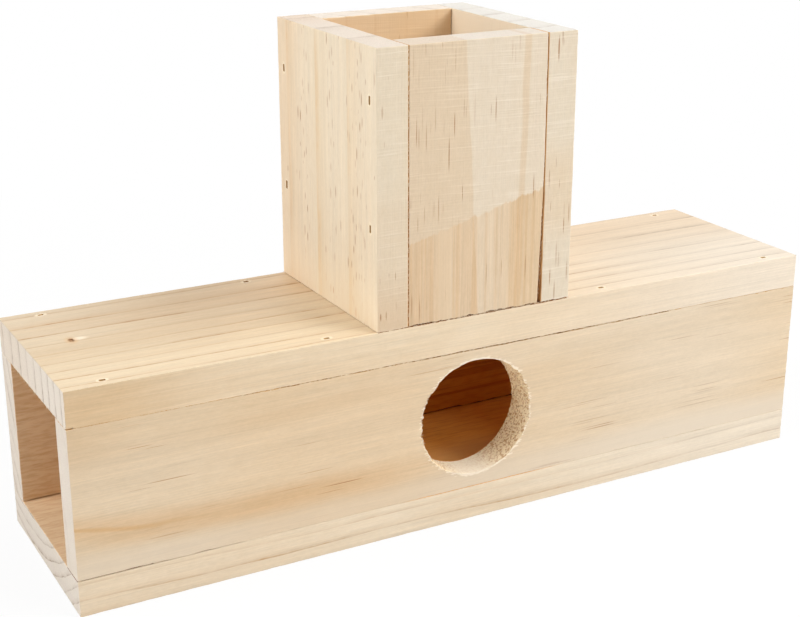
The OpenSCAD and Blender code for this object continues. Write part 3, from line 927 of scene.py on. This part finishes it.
def grow(name, tree, base=None, **values):
    """Runs a geometry tree with these inputs and keeps the result as a plain mesh object."""
    holder = put(name + ".holder", base or bpy.data.meshes.new(name + ".holder"))
    modifier = holder.modifiers.new("grow", "NODES")
    modifier.node_group = tree
    for item in tree.interface.items_tree:
        key = item.name.lower().replace(" ", "_")
        if item.in_out == "INPUT" and key in values:
            modifier[item.identifier] = values[key]
    return settle(holder, name)


# %% [markdown]
# ## The eight boards
#
# Each board takes its corners from the part's own box. Chips are longer along the grain than across it,
# and so are the steps of the grid. The chimney's boards stand with hairline gaps between them and over
# the deck, as nailed boards do, so some corners are drawn in by tenths of a millimetre.

# %% The eight boards
ARRIS, CHIP = 0.2 * MM, 0.5 * MM
CHIP_LONG, CHIP_WIDE = 4.0 * MM, 1.2 * MM
STEP_LONG, STEP_WIDE = 1.5 * MM, 1.0 * MM
FOOT_GAP, SIDE_GAP = 0.15 * MM, 0.22 * MM
PANEL_TAPER = (-0.55 * MM, 0.7 * MM)
boards = {}
for number, (node, finish) in enumerate(FINISH.items()):
    low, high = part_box(node)
    standing = node.startswith("chimney")
    steps = [STEP_WIDE, STEP_WIDE, STEP_LONG] if standing else [STEP_LONG, STEP_WIDE, STEP_WIDE]
    chip_size = [CHIP_WIDE, CHIP_WIDE, CHIP_LONG] if standing else [CHIP_LONG, CHIP_WIDE, CHIP_WIDE]
    taper = (0.0, 0.0)
    if node == "chimney_front_board":
        taper = PANEL_TAPER
        low.x += SIDE_GAP
    if node in ("chimney_front_board", "chimney_right_board"):
        low.z += FOOT_GAP
    if node == "chimney_left_board":
        low.z += FOOT_GAP / 2
    if node == "chimney_back_board":
        high.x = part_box("chimney_right_board")[0].x - SIDE_GAP
    rows = [float(round((high[i] - low[i]) / steps[i]) + 2 * EDGE_ROWS) for i in range(3)]
    boards[node] = grow(node + "_sawn", sawn_board, low=low, high=high, rows=rows, arris=ARRIS, chip=CHIP,
                        chip_size=chip_size, taper_foot=taper[0], taper_rim=taper[1], seed=float(number),
                        finish=finish)
    print(node, len(boards[node].data.polygons), "faces")

# %% [markdown]
# ## The entry hole and the hole under the chimney
#
# A hole saw cuts cleanly where it runs along the fibres, at the top and bottom of the hole, and tears
# them where it crosses them, at the two sides. The cutter is a cylinder with many faces whose wall is
# pushed in and out by noise, most where it faces along the grain. There the hole is also a little wider,
# and the fibres have broken out round its rim.

# %% Hole saw tree
DRUM_SIDES, DRUM_RINGS = 360, 40
FLARE_DEPTH = 2.0 * MM
TORN_LUMP, TORN_GRIT = 2.2 * MM, 0.7 * MM
hole_saw, wanted = new_tree(
    "hole_saw", "Cutter", centre="Vector", turn="Vector", across="Vector", radius="Float", depth="Float",
    tear="Float", widen="Float", flare="Float", outward="Vector", wall="Float", finish="Material")
drum = add(hole_saw, "GeometryNodeMeshCylinder", None,
           {"Vertices": DRUM_SIDES, "Side Segments": DRUM_RINGS, "Radius": wanted["Radius"],
            "Depth": wanted["Depth"]})
turned = add(hole_saw, "FunctionNodeEulerToRotation", None, [wanted["Turn"]])
drum = add(hole_saw, "GeometryNodeTransform", None,
           {"Geometry": drum.outputs["Mesh"], "Translation": wanted["Centre"], "Rotation": turned})
here = add(hole_saw, HERE)
out = add(hole_saw, VECTOR, MINUS, [here, wanted["Centre"]])
spoke = add(hole_saw, VECTOR, TIMES, [out, wanted["Across"]])
spoke = add(hole_saw, VECTOR, UNIT, [spoke])
cross = add(hole_saw, SPLIT, None, [spoke]).outputs["X"]
cross = add(hole_saw, MATH, {"operation": "POWER"}, [cross, 2.0])
lumps = add(hole_saw, NOISE, RAW, {"Scale": 1 / TORN_LUMP, "Detail": 1.0})
grit = add(hole_saw, NOISE, RAW, {"Scale": 1 / TORN_GRIT, "Detail": 2.0})
most = add(hole_saw, MATH, TIMES_PLUS, [cross, 0.85, 0.15])
torn = add(hole_saw, MATH, PLUS, [lumps, grit])
torn = add(hole_saw, MATH, TIMES, [torn, wanted["Tear"], most])
oval = add(hole_saw, MATH, TIMES_PLUS, [cross, 2.0, -1.0])
torn = add(hole_saw, MATH, TIMES_PLUS, [oval, wanted["Widen"], torn])
out = add(hole_saw, VECTOR, {"operation": "DOT_PRODUCT"}, [out, wanted["Outward"]])
half = add(hole_saw, MATH, TIMES, [wanted["Wall"], 0.5])
deep = add(hole_saw, MATH, MINUS, [half, FLARE_DEPTH])
lip = add(hole_saw, RANGE, SMOOTH, [out, deep, half])
chance = add(hole_saw, MATH, PLUS, [lumps, 0.45])
chance = add(hole_saw, MATH, LARGER, [chance, 0.0])
lip = add(hole_saw, MATH, TIMES, [lip, most, chance])
torn = add(hole_saw, MATH, TIMES_PLUS, [lip, wanted["Flare"], torn])
push = add(hole_saw, VECTOR, SCALE, [spoke, torn])
drum = add(hole_saw, MOVE, None, {"Geometry": drum, "Offset": push})
end_tree(hole_saw, drum, wanted["Finish"])


# %% [markdown]
# The entry hole goes through the front board and the other one through the deck, under the chimney. A
# Boolean modifier takes the cutter out of the board, and gives the hole's wall the cutter's finish.

# %% Cutting the holes
def cut(node, cutter):
    """Takes a cutter's shape out of a board."""
    blank = boards[node]
    name = blank.name
    blank.name = name + ".blank"
    bore = blank.modifiers.new("cut", "BOOLEAN")
    bore.operation = "DIFFERENCE"
    bore.solver = "MANIFOLD"
    bore.object = cutter
    boards[node] = settle(blank, name)
    bpy.data.objects.remove(cutter)
    print(name, "cut,", len(boards[node].data.polygons), "faces")


cut("front_board", grow("entry_saw", hole_saw, centre=ENTRY_CENTRE, turn=(math.pi / 2, 0, 0),
                        across=(1, 0, 1), radius=ENTRY_RADIUS, depth=16 * MM, tear=0.3 * MM,
                        widen=0.25 * MM, flare=0.7 * MM, outward=(0, -1, 0), wall=12 * MM,
                        finish=FINISH["front_board"]))
deck_low, deck_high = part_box("top_board")
SHAFT_CENTRE = (deck_low + deck_high) / 2
SHAFT_RADIUS = 22.5 * MM
cut("top_board", grow("shaft_saw", hole_saw, centre=SHAFT_CENTRE, turn=(0, 0, 0), across=(1, 1, 0),
                      radius=SHAFT_RADIUS, depth=17 * MM, tear=0.3 * MM, widen=0.0, flare=0.5 * MM,
                      outward=(0, 0, -1), wall=13 * MM, finish=FINISH["top_board"]))


# %% [markdown]
# ## Brad marks
#
# A brad gun sets each head just below the face and leaves a small slot along the grain, with a ragged
# edge. The heads are already in the part, so their places are read from the brads themselves, and the
# marks follow if a row is moved. For each row stand its axis and the side that the heads are on.

# %% Brad places
HEAD_SKIN, HEAD_APART = 0.01 * MM, 4 * MM
ALONG, UP = 0, 2


def head_places(node, axis, side):
    """The middle of each brad head in a row: the outermost points of the brads, in groups."""
    points = [v.co.copy() for v in frame["nodes"][node].data.vertices]
    outermost = max(side * p[axis] for p in points)
    groups = []
    for p in points:
        if side * p[axis] > outermost - HEAD_SKIN:
            group = next((g for g in groups if (g[0] - p).length < HEAD_APART), None)
            if group is None:
                groups.append([p])
            else:
                group.append(p)
    return [sum(g, Vector()) / len(g) for g in groups]


BRAD_ROWS = {
    "top_board": (("top_front_brads", UP, 1), ("top_back_brads", UP, 1), ("chimney_foot_left_brads", UP, -1),
                  ("chimney_foot_right_brads", UP, -1)),
    "bottom_board": (("bottom_front_brads", UP, -1), ("bottom_back_brads", UP, -1)),
    "chimney_left_board": (("chimney_left_front_brads", ALONG, -1), ("chimney_left_back_brads", ALONG, -1)),
    "chimney_right_board": (("chimney_right_front_brads", ALONG, 1), ("chimney_right_back_brads", ALONG, 1)),
}
marks = {node: [] for node in BRAD_ROWS}
for node, brad_rows in BRAD_ROWS.items():
    for row, axis, side in brad_rows:
        marks[node] += [(head, axis, side) for head in head_places(row, axis, side)]
    print(node, len(marks[node]), "brads")

# %% [markdown]
# One tree puts a slot-shaped punch at each place, in slightly different sizes, and roughens it. All
# the punches of a board are cut out of it at once, so each board needs one Boolean for its marks.

# %% Brad punch tree
RAGGED_GRAIN = 0.9 * MM
brad_punch, wanted = new_tree(
    "brad_punch", "Punches", places="Geometry", slot="Vector", ragged="Float", seed="Int", finish="Material")
slot = add(brad_punch, BOX, None, [wanted["Slot"], 5, 5, 5])
places = add(brad_punch, "GeometryNodeMeshToPoints", None, {"Mesh": wanted["Places"]})
size = add(brad_punch, RANDOM, {"data_type": "FLOAT"}, {"Min": 0.9, "Max": 1.15, "Seed": wanted["Seed"]})
punches = add(brad_punch, STREW, None, {"Points": places, "Instance": slot.outputs["Mesh"], "Scale": size})
punches = add(brad_punch, MAKE_REAL, None, [punches])
uneven = add(brad_punch, NOISE, RAW, {"Scale": 1 / RAGGED_GRAIN, "Detail": 1.0})
uneven = add(brad_punch, VECTOR, SCALE, [uneven.outputs["Color"], wanted["Ragged"]])
punches = add(brad_punch, MOVE, None, {"Geometry": punches, "Offset": uneven})
end_tree(brad_punch, punches, wanted["Finish"])

# %% [markdown]
# A punch stands with its middle on the face, so it sinks in by half its height. Its slot lies along
# the grain, which is upright on the chimney's boards and runs along the tunnel on the others.

# %% Punching the marks
SINK, RAGGED = 0.65 * MM, 0.12 * MM
STANDING_SLOT = (2 * SINK, 1.2 * MM, 2.8 * MM)
LYING_SLOT = (1.9 * MM, 1.2 * MM, 2 * SINK)
for number, (node, found) in enumerate(marks.items()):
    low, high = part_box(node)
    points = []
    for head, axis, side in found:
        point = head.copy()
        point[axis] = high[axis] if side > 0 else low[axis]
        points.append(point)
    places = bpy.data.meshes.new(node + ".places")
    places.from_pydata(points, [], [])
    slot = STANDING_SLOT if node.startswith("chimney") else LYING_SLOT
    cut(node, grow(node + "_punch", brad_punch, places, slot=slot, ragged=RAGGED, seed=number,
                   finish=FINISH[node]))

# %% [markdown]
# Round a mark the fibres stand up and look light, in a ragged oval along the grain. The walls of the slot lie
# in shade and are tinted brown as painted shade. The distance to the nearest mark gives both.

# %% Light fibres and painted shade on the walls of the marks
MARK_LONG, MARK_WIDE = 2.0, 1.25
for node, found in marks.items():
    tree, grain, place, sides = open_finish(node)
    middle = sum(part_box(node), Vector()) / 2
    distances = []
    for head, axis, side in found:
        spot = (head - middle) / MM
        spot = spot.zyx if node.startswith("chimney") else spot
        away = add(tree, VECTOR, MINUS, [grain, spot])
        away = add(tree, VECTOR, TIMES, [away, (1 / MARK_LONG, 1 / MARK_WIDE, 0.0)])
        distances.append(add(tree, VECTOR, LENGTH, [away]))
    nearest = add(tree, MATH, SMALLER, distances)
    ragged = grained(tree, grain, (1.6, 0.5, 0.5), 1.0)
    nearest = add(tree, MATH, TIMES_PLUS, [ragged, 0.35, nearest])
    stain(tree, COVER, "#F6E8CC", add(tree, RANGE, SMOOTH, [nearest, 1.25, 0.9, 0.0, 0.6]), sides["Z"])
    steep = add(tree, MATH, BELOW, [sides["Z"], 0.7])
    wall = add(tree, MATH, BELOW, [nearest, 1.5])
    # Painted shade: the steep walls of the slots are tinted brown.
    stain(tree, TINT, "#EFD9B0", wall, steep)
    print(node, len(distances), "marks")

# %% [markdown]
# The heart of the pin knot has broken out and left a shallow pit. The brad punch, wider and more ragged,
# makes it too.

# %% Pit of the pin knot
PIT, PIT_RAGGED, PIT_SEED = (1.7 * MM, 2.8 * MM, 0.8 * MM), 0.35 * MM, 9
knot_place = bpy.data.meshes.new("knot.places")
knot_place.from_pydata([(KNOT.x * MM, KNOT.y * MM, deck_high.z)], [], [])
cut("top_board", grow("knot_pit", brad_punch, knot_place, slot=PIT, ragged=PIT_RAGGED, seed=PIT_SEED,
                      finish=FINISH["top_board"]))

# %% [markdown]
# ## Open seams
#
# The boards don't meet tightly everywhere. Under the deck's front edge a thin dark gap opens in the
# middle, and shorter ones show at the lower left corner, along the floor inside and under the chimney's
# foot. Each is a thin bar with a wavy skin that is taken out of the board's edge.

# %% Seam saw tree
seam_saw, wanted = new_tree("seam_saw", "Bar", low="Vector", high="Vector", rows="Int", uneven="Float",
                            wave="Float", finish="Material")
size = add(seam_saw, VECTOR, MINUS, [wanted["High"], wanted["Low"]])
middle = add(seam_saw, VECTOR, PLUS, [wanted["High"], wanted["Low"]])
middle = add(seam_saw, VECTOR, SCALE, [middle, 0.5])
bar = add(seam_saw, BOX, None, [size, wanted["Rows"], 3, 3])
bar = add(seam_saw, "GeometryNodeTransform", None, {"Geometry": bar.outputs["Mesh"], "Translation": middle})
finer = add(seam_saw, MATH, DIVIDE, [1.0, wanted["Wave"]])
wavy = add(seam_saw, NOISE, RAW, {"Scale": finer, "Detail": 2.0})
wavy = add(seam_saw, VECTOR, SCALE, [wavy.outputs["Color"], wanted["Uneven"]])
bar = add(seam_saw, MOVE, None, {"Geometry": bar, "Offset": wavy})
end_tree(seam_saw, bar, wanted["Finish"])

# %% [markdown]
# A seam is given by the board that it is cut from, two corners of its bar in millimetres, how uneven
# the bar's skin is, and the length of its waves.

# %% Opening the seams
LEAST_ROWS, ROWS_EACH_WAVE = 8, 3
SEAMS = (
    ("under_deck_left", "front_board", (-92.0, -39.6, 66.9), (-24.0, -37.8, 67.4), 0.22, 5.0),
    ("under_deck", "front_board", (-26.0, -39.6, 66.7), (87.0, -37.4, 67.4), 0.22, 5.0),
    ("lower_corner", "front_board", (-150.6, -39.6, 12.6), (-124.0, -38.0, 13.5), 0.22, 5.0),
    ("lower_left", "front_board", (-125.0, -39.6, 12.6), (-92.0, -38.2, 13.25), 0.22, 5.0),
    ("along_floor", "back_board", (-150.6, 26.4, 12.6), (150.6, 28.4, 13.45), 0.22, 5.0),
    ("deck_corner", "top_board", (-150.6, -39.6, 66.6), (-147.6, -38.3, 67.45), 0.22, 5.0),
    ("panel_foot", "chimney_front_board", (-28.0, -39.6, 79.6), (27.2, -36.8, 80.5), 0.6, 2.4),
    ("right_foot", "chimney_right_board", (27.0, -39.6, 79.6), (40.0, -37.2, 80.45), 0.4, 2.4),
)
for name, node, low, high, uneven, wave in SEAMS:
    rows = max(LEAST_ROWS, round(ROWS_EACH_WAVE * (high[0] - low[0]) / wave))
    cut(node, grow(name + "_seam", seam_saw, low=Vector(low) * MM, high=Vector(high) * MM, rows=rows,
                   uneven=uneven * MM, wave=wave * MM, finish=FINISH[node]))

# %% [markdown]
# ## Torn fibres
#
# Raw pine is never clean where it was cut: loose fibres stand along the rim of the hole, hang from the
# deck's sawn end and bridge the seams. Hair would be lost in the export, so a fibre is a thin cone of a
# few faces. The tree puts fibres along a path, shakes their places, turns them the way the grain lies
# and keeps them inside the part's box.

# %% Torn fibre finish
# Loose pine fibres: cream, matt and a little darker at random, so that they read as wood and not paint.
torn_pine, tree, surface = new_finish("torn_pine_fibres")
where = add(tree, POSITION)
grit = add(tree, NOISE, None, {"Vector": where.outputs["Object"], "Scale": 1 / (1.5 * MM)})
fill(tree, surface["Base Color"], add(tree, MIX, COLOUR, [grit, linear("#F7EBD6"), linear("#E3CBA2")]))
fill(tree, surface["Roughness"], 0.8)
fill(tree, surface["Specular IOR Level"], 0.2)
print("fibre finish", len(tree.nodes), "nodes")

# %% [markdown]
# The fibre itself is a cone with four sides, drawn out to each fibre's length and thickness. Three random
# draws shake its root, bend it away from the grain and choose its length. Each has its own seed, counted
# on from the row's, so that no draw follows another.

# %% Torn fibre tree
torn_fibres, wanted = new_tree(
    "torn_fibres", "Fibres", path="Geometry", count="Int", lie="Vector", spread="Float", length="Float",
    thickness="Float", shake="Vector", low="Vector", high="Vector", seed="Int", finish="Material")
course = add(torn_fibres, "GeometryNodeMeshToCurve", None, {"Mesh": wanted["Path"]})
roots = add(torn_fibres, "GeometryNodeCurveToPoints", None, {"Curve": course, "Count": wanted["Count"]})
shake = add(torn_fibres, RANDOM, VECTORS, {"Min": (-1, -1, -1), "Max": (1, 1, 1), "Seed": wanted["Seed"]})
shake = add(torn_fibres, VECTOR, TIMES, [shake, wanted["Shake"]])
roots = add(torn_fibres, MOVE, None, {"Geometry": roots.outputs["Points"], "Offset": shake})
next_seed = add(torn_fibres, MATH, PLUS, [wanted["Seed"], 1.0])
bent = add(torn_fibres, RANDOM, VECTORS, {"Min": (-1, -1, -1), "Max": (1, 1, 1), "Seed": next_seed})
bent = add(torn_fibres, VECTOR, SCALE, [bent, wanted["Spread"]])
bent = add(torn_fibres, VECTOR, PLUS, [bent, wanted["Lie"]])
turn = add(torn_fibres, "FunctionNodeAlignRotationToVector", {"axis": "Z"}, {"Vector": bent})
long_seed = add(torn_fibres, MATH, PLUS, [wanted["Seed"], 2.0])
grown = add(torn_fibres, RANDOM, {"data_type": "FLOAT"}, {"Min": 0.3, "Max": 1.2, "Seed": long_seed})
grown = add(torn_fibres, MATH, TIMES, [grown, wanted["Length"]])
shape = add(torn_fibres, JOIN, None, [wanted["Thickness"], wanted["Thickness"], grown])
fibre = add(torn_fibres, "GeometryNodeMeshCone", None,
            {"Vertices": 4, "Radius Top": 0.12, "Radius Bottom": 0.5, "Depth": 1.0})
strewn = add(torn_fibres, STREW, None,
             {"Points": roots, "Instance": fibre.outputs["Mesh"], "Rotation": turn, "Scale": shape})
strewn = add(torn_fibres, MAKE_REAL, None, [strewn])
here = add(torn_fibres, HERE)
held = add(torn_fibres, VECTOR, LARGER, [here, wanted["Low"]])
held = add(torn_fibres, VECTOR, SMALLER, [held, wanted["High"]])
strewn = add(torn_fibres, MOVE, None, {"Geometry": strewn, "Position": held})
end_tree(torn_fibres, strewn, wanted["Finish"])


# %% [markdown]
# A row of fibres is given by its path in millimetres, how many there are, the way they lie, how far
# they stray from it, their length and thickness, and how far their roots are shaken. Left of the open
# seam the deck sits tight, and fibres in the front board's own finish close the line there.

# %% Where fibres stand
ARC_STEPS = 48


def arc(from_degrees, to_degrees, radius, y):
    """Points on the entry hole's rim, in millimetres."""
    middle = ENTRY_CENTRE / MM
    step = (to_degrees - from_degrees) / ARC_STEPS
    turns = [math.radians(from_degrees + step * i) for i in range(ARC_STEPS + 1)]
    return [(middle.x + radius * math.cos(t), y, middle.z + radius * math.sin(t)) for t in turns]


FIBRES = (
    ("rim_left", arc(150, 248, 23.0, -38.7), 95, (-1.0, -0.3, 0.0), 0.5, 1.7, 0.34, (0.35, 0.3, 0.3)),
    ("rim_right", arc(-72, 52, 23.0, -38.7), 100, (1.0, -0.3, 0.0), 0.5, 1.7, 0.32, (0.35, 0.3, 0.3)),
    ("wall_left", arc(115, 245, 22.7, -33.0), 240, (1.0, -0.6, 0.0), 0.7, 0.9, 0.32, (0.2, 5.0, 0.4)),
    ("wall_right", arc(-75, 65, 22.7, -33.0), 260, (-1.0, -0.6, 0.0), 0.7, 0.9, 0.32, (0.2, 5.0, 0.4)),
    ("deck_end", [(-149.5, 27.0, 67.1), (-149.5, -26.0, 67.1)], 70, (-0.1, 0.0, -1.0), 0.5, 1.3, 0.35,
     (0.3, 0.6, 0.2)),
    ("foot_left", [(-39.6, 38.5, 80.1), (-39.6, -38.5, 80.1)], 60, (-0.5, 0.8, 0.1), 0.5, 1.1, 0.22,
     (0.15, 0.6, 0.1)),
    ("foot_front", [(-27.0, -38.8, 80.3), (39.3, -38.8, 80.3)], 75, (0.9, 0.0, -0.2), 0.5, 1.2, 0.25,
     (0.5, 0.15, 0.15)),
    ("seam_left", [(-27.4, -38.8, 81.0), (-27.4, -38.8, 177.5)], 80, (0.15, 0.0, 1.0), 0.4, 1.5, 0.22,
     (0.12, 0.15, 0.6)),
    ("seam_right", [(26.7, -38.8, 84.0), (27.0, -38.8, 177.5)], 60, (0.2, 0.0, 1.0), 0.5, 1.4, 0.22,
     (0.15, 0.15, 0.6)),
    ("under_deck", [(-90.0, -38.8, 66.9), (88.0, -38.8, 66.9)], 130, (1.0, 0.0, 0.1), 0.25, 1.8, 0.24,
     (0.8, 0.15, 0.12)),
    ("deck_edge", [(-149.8, -38.85, 79.9), (149.8, -38.85, 79.9)], 150, (1.0, 0.0, 0.05), 0.15, 1.6, 0.2,
     (1.0, 0.1, 0.08)),
    ("shut_seam", [(-147.0, -38.85, 67.0), (-96.0, -38.85, 67.0)], 260, (1.0, 0.0, 0.0), 0.04, 3.0, 0.4,
     (0.5, 0.04, 0.1)),
)
FIBRE_FINISH = {"shut_seam": FINISH["front_board"]}
FIRST_SEED, SEEDS_EACH = 40, 3
fibres = []
for number, (name, path, count, lie, spread, length, thickness, shake) in enumerate(FIBRES):
    course = bpy.data.meshes.new(name + ".path")
    course.from_pydata([Vector(point) * MM for point in path], [(i, i + 1) for i in range(len(path) - 1)], [])
    fibres.append(grow("fibres_" + name, torn_fibres, course, count=count, lie=lie, spread=spread,
                       length=length * MM, thickness=thickness * MM, shake=Vector(shake) * MM,
                       low=cad_low, high=cad_high, seed=FIRST_SEED + SEEDS_EACH * number,
                       finish=FIBRE_FINISH.get(name, torn_pine)))
    print("fibres", name, len(fibres[-1].data.polygons), "faces")

# %% [markdown]
# ## Brads
#
# Brads come in strips that are stuck together with a resin, and each keeps a thin coat of it. So the
# sunk heads are not bright steel but a dull golden brown. The brads themselves are those of the part,
# which need only this finish.

# %% Brad steel
# Drawn steel wire under a thin resin coat: a metal that shines softly, brown and a little blotchy.
steel, tree, surface = new_finish("resin_coated_brad_steel")
where = add(tree, POSITION)
spangle = add(tree, NOISE, None, {"Vector": where.outputs["Object"], "Scale": 1 / (0.4 * MM)})
fill(tree, surface["Metallic"], 1.0)
fill(tree, surface["Base Color"], add(tree, MIX, COLOUR, [spangle, linear("#8A6436"), linear("#B28A54")]))
fill(tree, surface["Roughness"], add(tree, RANGE, None, [spangle, 0.0, 1.0, 0.35, 0.55]))
for node, holder in frame["nodes"].items():
    if node.endswith("_brads"):
        if not holder.material_slots:
            holder.data.materials.append(steel)
        for place in holder.material_slots:
            place.material = steel
print("brad rows", sum(node.endswith("_brads") for node in frame["nodes"]))

# %% [markdown]
# ## The boards take their nodes' places
#
# Each sawn board stands for a plain board of the part, so it rides on the same body and replaces that
# node. The fibres ride along and replace nothing. Boards and fibres are both pine.

# %% The boards take their nodes' places
for node, piece in boards.items():
    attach(piece, "root")
    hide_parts(node)
for piece in fibres:
    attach(piece, "root")
print("pieces", len(boards) + len(fibres))

# %% [markdown]
# ## Camera
#
# The object is pictured from the front left, a little above, with a lens of about 68 mm. The place was
# found by fitting the part's corners to those in the picture, so the two can be laid over each other.

# %% Camera
camera = put("camera", bpy.data.cameras.new("camera"))
camera.location = Vector((-264.19, -468.65, 259.38)) * MM
camera.rotation_euler = (math.radians(70.643), 0.0, math.radians(-28.516))
camera.data.lens = 67.685
camera.data.sensor_width = 36.0
camera.data.clip_start = 0.01
scene.camera = camera
print("camera", round(camera.location.length, 3), "m away")


# %% [markdown]
# ## Light
#
# The light is that of a white room: large soft lamps, the strongest from the front right, and weaker
# ones that fill the shadows on the left, at the back and from above. The room is white to the camera,
# and to metal or glass, but adds hardly any light of its own. So the lamps alone shape the object.

# %% Light
def shows_room(tree):
    """1 for a ray that shows the room itself: from the camera, or by way of metal or glass."""
    rays = add(tree, "ShaderNodeLightPath").outputs
    shown = [rays[name] for name in ("Is Camera Ray", "Is Glossy Ray", "Is Transmission Ray")]
    return add(tree, MATH, LARGER, shown)


ROOM_GLOW = 0.02
world = bpy.data.worlds.new("white_room")
scene.world = world
world.use_nodes = True
room = world.node_tree
room.nodes.clear()
level = add(room, RANGE, None, [shows_room(room), 0.0, 1.0, ROOM_GLOW, 1.0])
white = add(room, "ShaderNodeBackground", None, {"Color": (1, 1, 1, 1), "Strength": level})
add(room, "ShaderNodeOutputWorld", None, {"Surface": white})

# For each square lamp: its place and width in metres, and its power in watts.
LAMPS = {
    "key_right": ((0.9, -0.2, 0.88), 1.0, 6.8),
    "key_front": ((0.7, -0.9, 0.8), 0.7, 12.25),
    "fill_left": ((-1.1, 0.0, 0.5), 1.2, 8.0),
    "fill_above_left": ((-0.8, 0.0, 0.9), 0.7, 3.5),
    "fill_back": ((0.3, 1.1, 0.2), 1.0, 6.5),
    "overhead": ((0.0, 0.0, 1.2), 0.7, 3.6),
}
LAMP_TARGET = Vector((0, 0, 0.08))
for name, (spot, size, power) in LAMPS.items():
    data = bpy.data.lights.new(name, "AREA")
    data.size = size
    data.energy = power
    lamp = put(name, data)
    lamp.location = spot
    lamp.rotation_euler = (LAMP_TARGET - Vector(spot)).to_track_quat("-Z", "Y").to_euler()
print("lamps", len(LAMPS))

# %% [markdown]
# ## Floor
#
# The object stands on white paper that goes over into the white room. Close to the object the paper
# lets a little of its own shading through, so a faint shadow stays. Further out it is plain white.

# %% Floor
# Matt white paper: it glows white to the camera, apart from a share of real shading near the object.
SHADOW_NEAR, SHADOW_FAR, SHADOW_SHARE = 0.2, 0.5, 0.08
bpy.ops.mesh.primitive_plane_add(size=20.0)
floor = bpy.context.object
floor.name = "floor"
floor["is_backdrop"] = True
paper = bpy.data.materials.new("white_paper")
paper.use_nodes = True
tree = paper.node_tree
tree.nodes.clear()
where = add(tree, POSITION)
where = add(tree, VECTOR, LENGTH, [where.outputs["Object"]])
plain = add(tree, RANGE, SMOOTH, [where, SHADOW_NEAR, SHADOW_FAR, 1.0 - SHADOW_SHARE, 1.0])
share = add(tree, MATH, TIMES, [shows_room(tree), plain])
matt = add(tree, "ShaderNodeBsdfDiffuse", None, {"Color": linear("#F2F1EF")})
glow = add(tree, "ShaderNodeEmission", None, {"Color": (1, 1, 1, 1), "Strength": 1.0})
mixed = add(tree, "ShaderNodeMixShader", None, [share, matt, glow])
add(tree, "ShaderNodeOutputMaterial", None, {"Surface": mixed})
floor.data.materials.append(paper)
print("floor", len(tree.nodes), "nodes")

# %% [markdown]
# ## Picture settings
#
# The default view would mute pale wood as a film does. The Standard view shows a colour as it is
# written, so the render can be set beside the picture tone by tone.

# %% Picture settings
scene.view_settings.view_transform = "Standard"
print("view", scene.view_settings.view_transform)

# %% [markdown]
# ## Size
#
# Last, the box of the dressed object is measured beside the part's own. The two should be the same,
# because chips, slots and seams only take wood away, and the fibres are held inside the part's box.

# %% Size
low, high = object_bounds()
print("size", [round(v / MM, 2) for v in (high - low)], "mm")
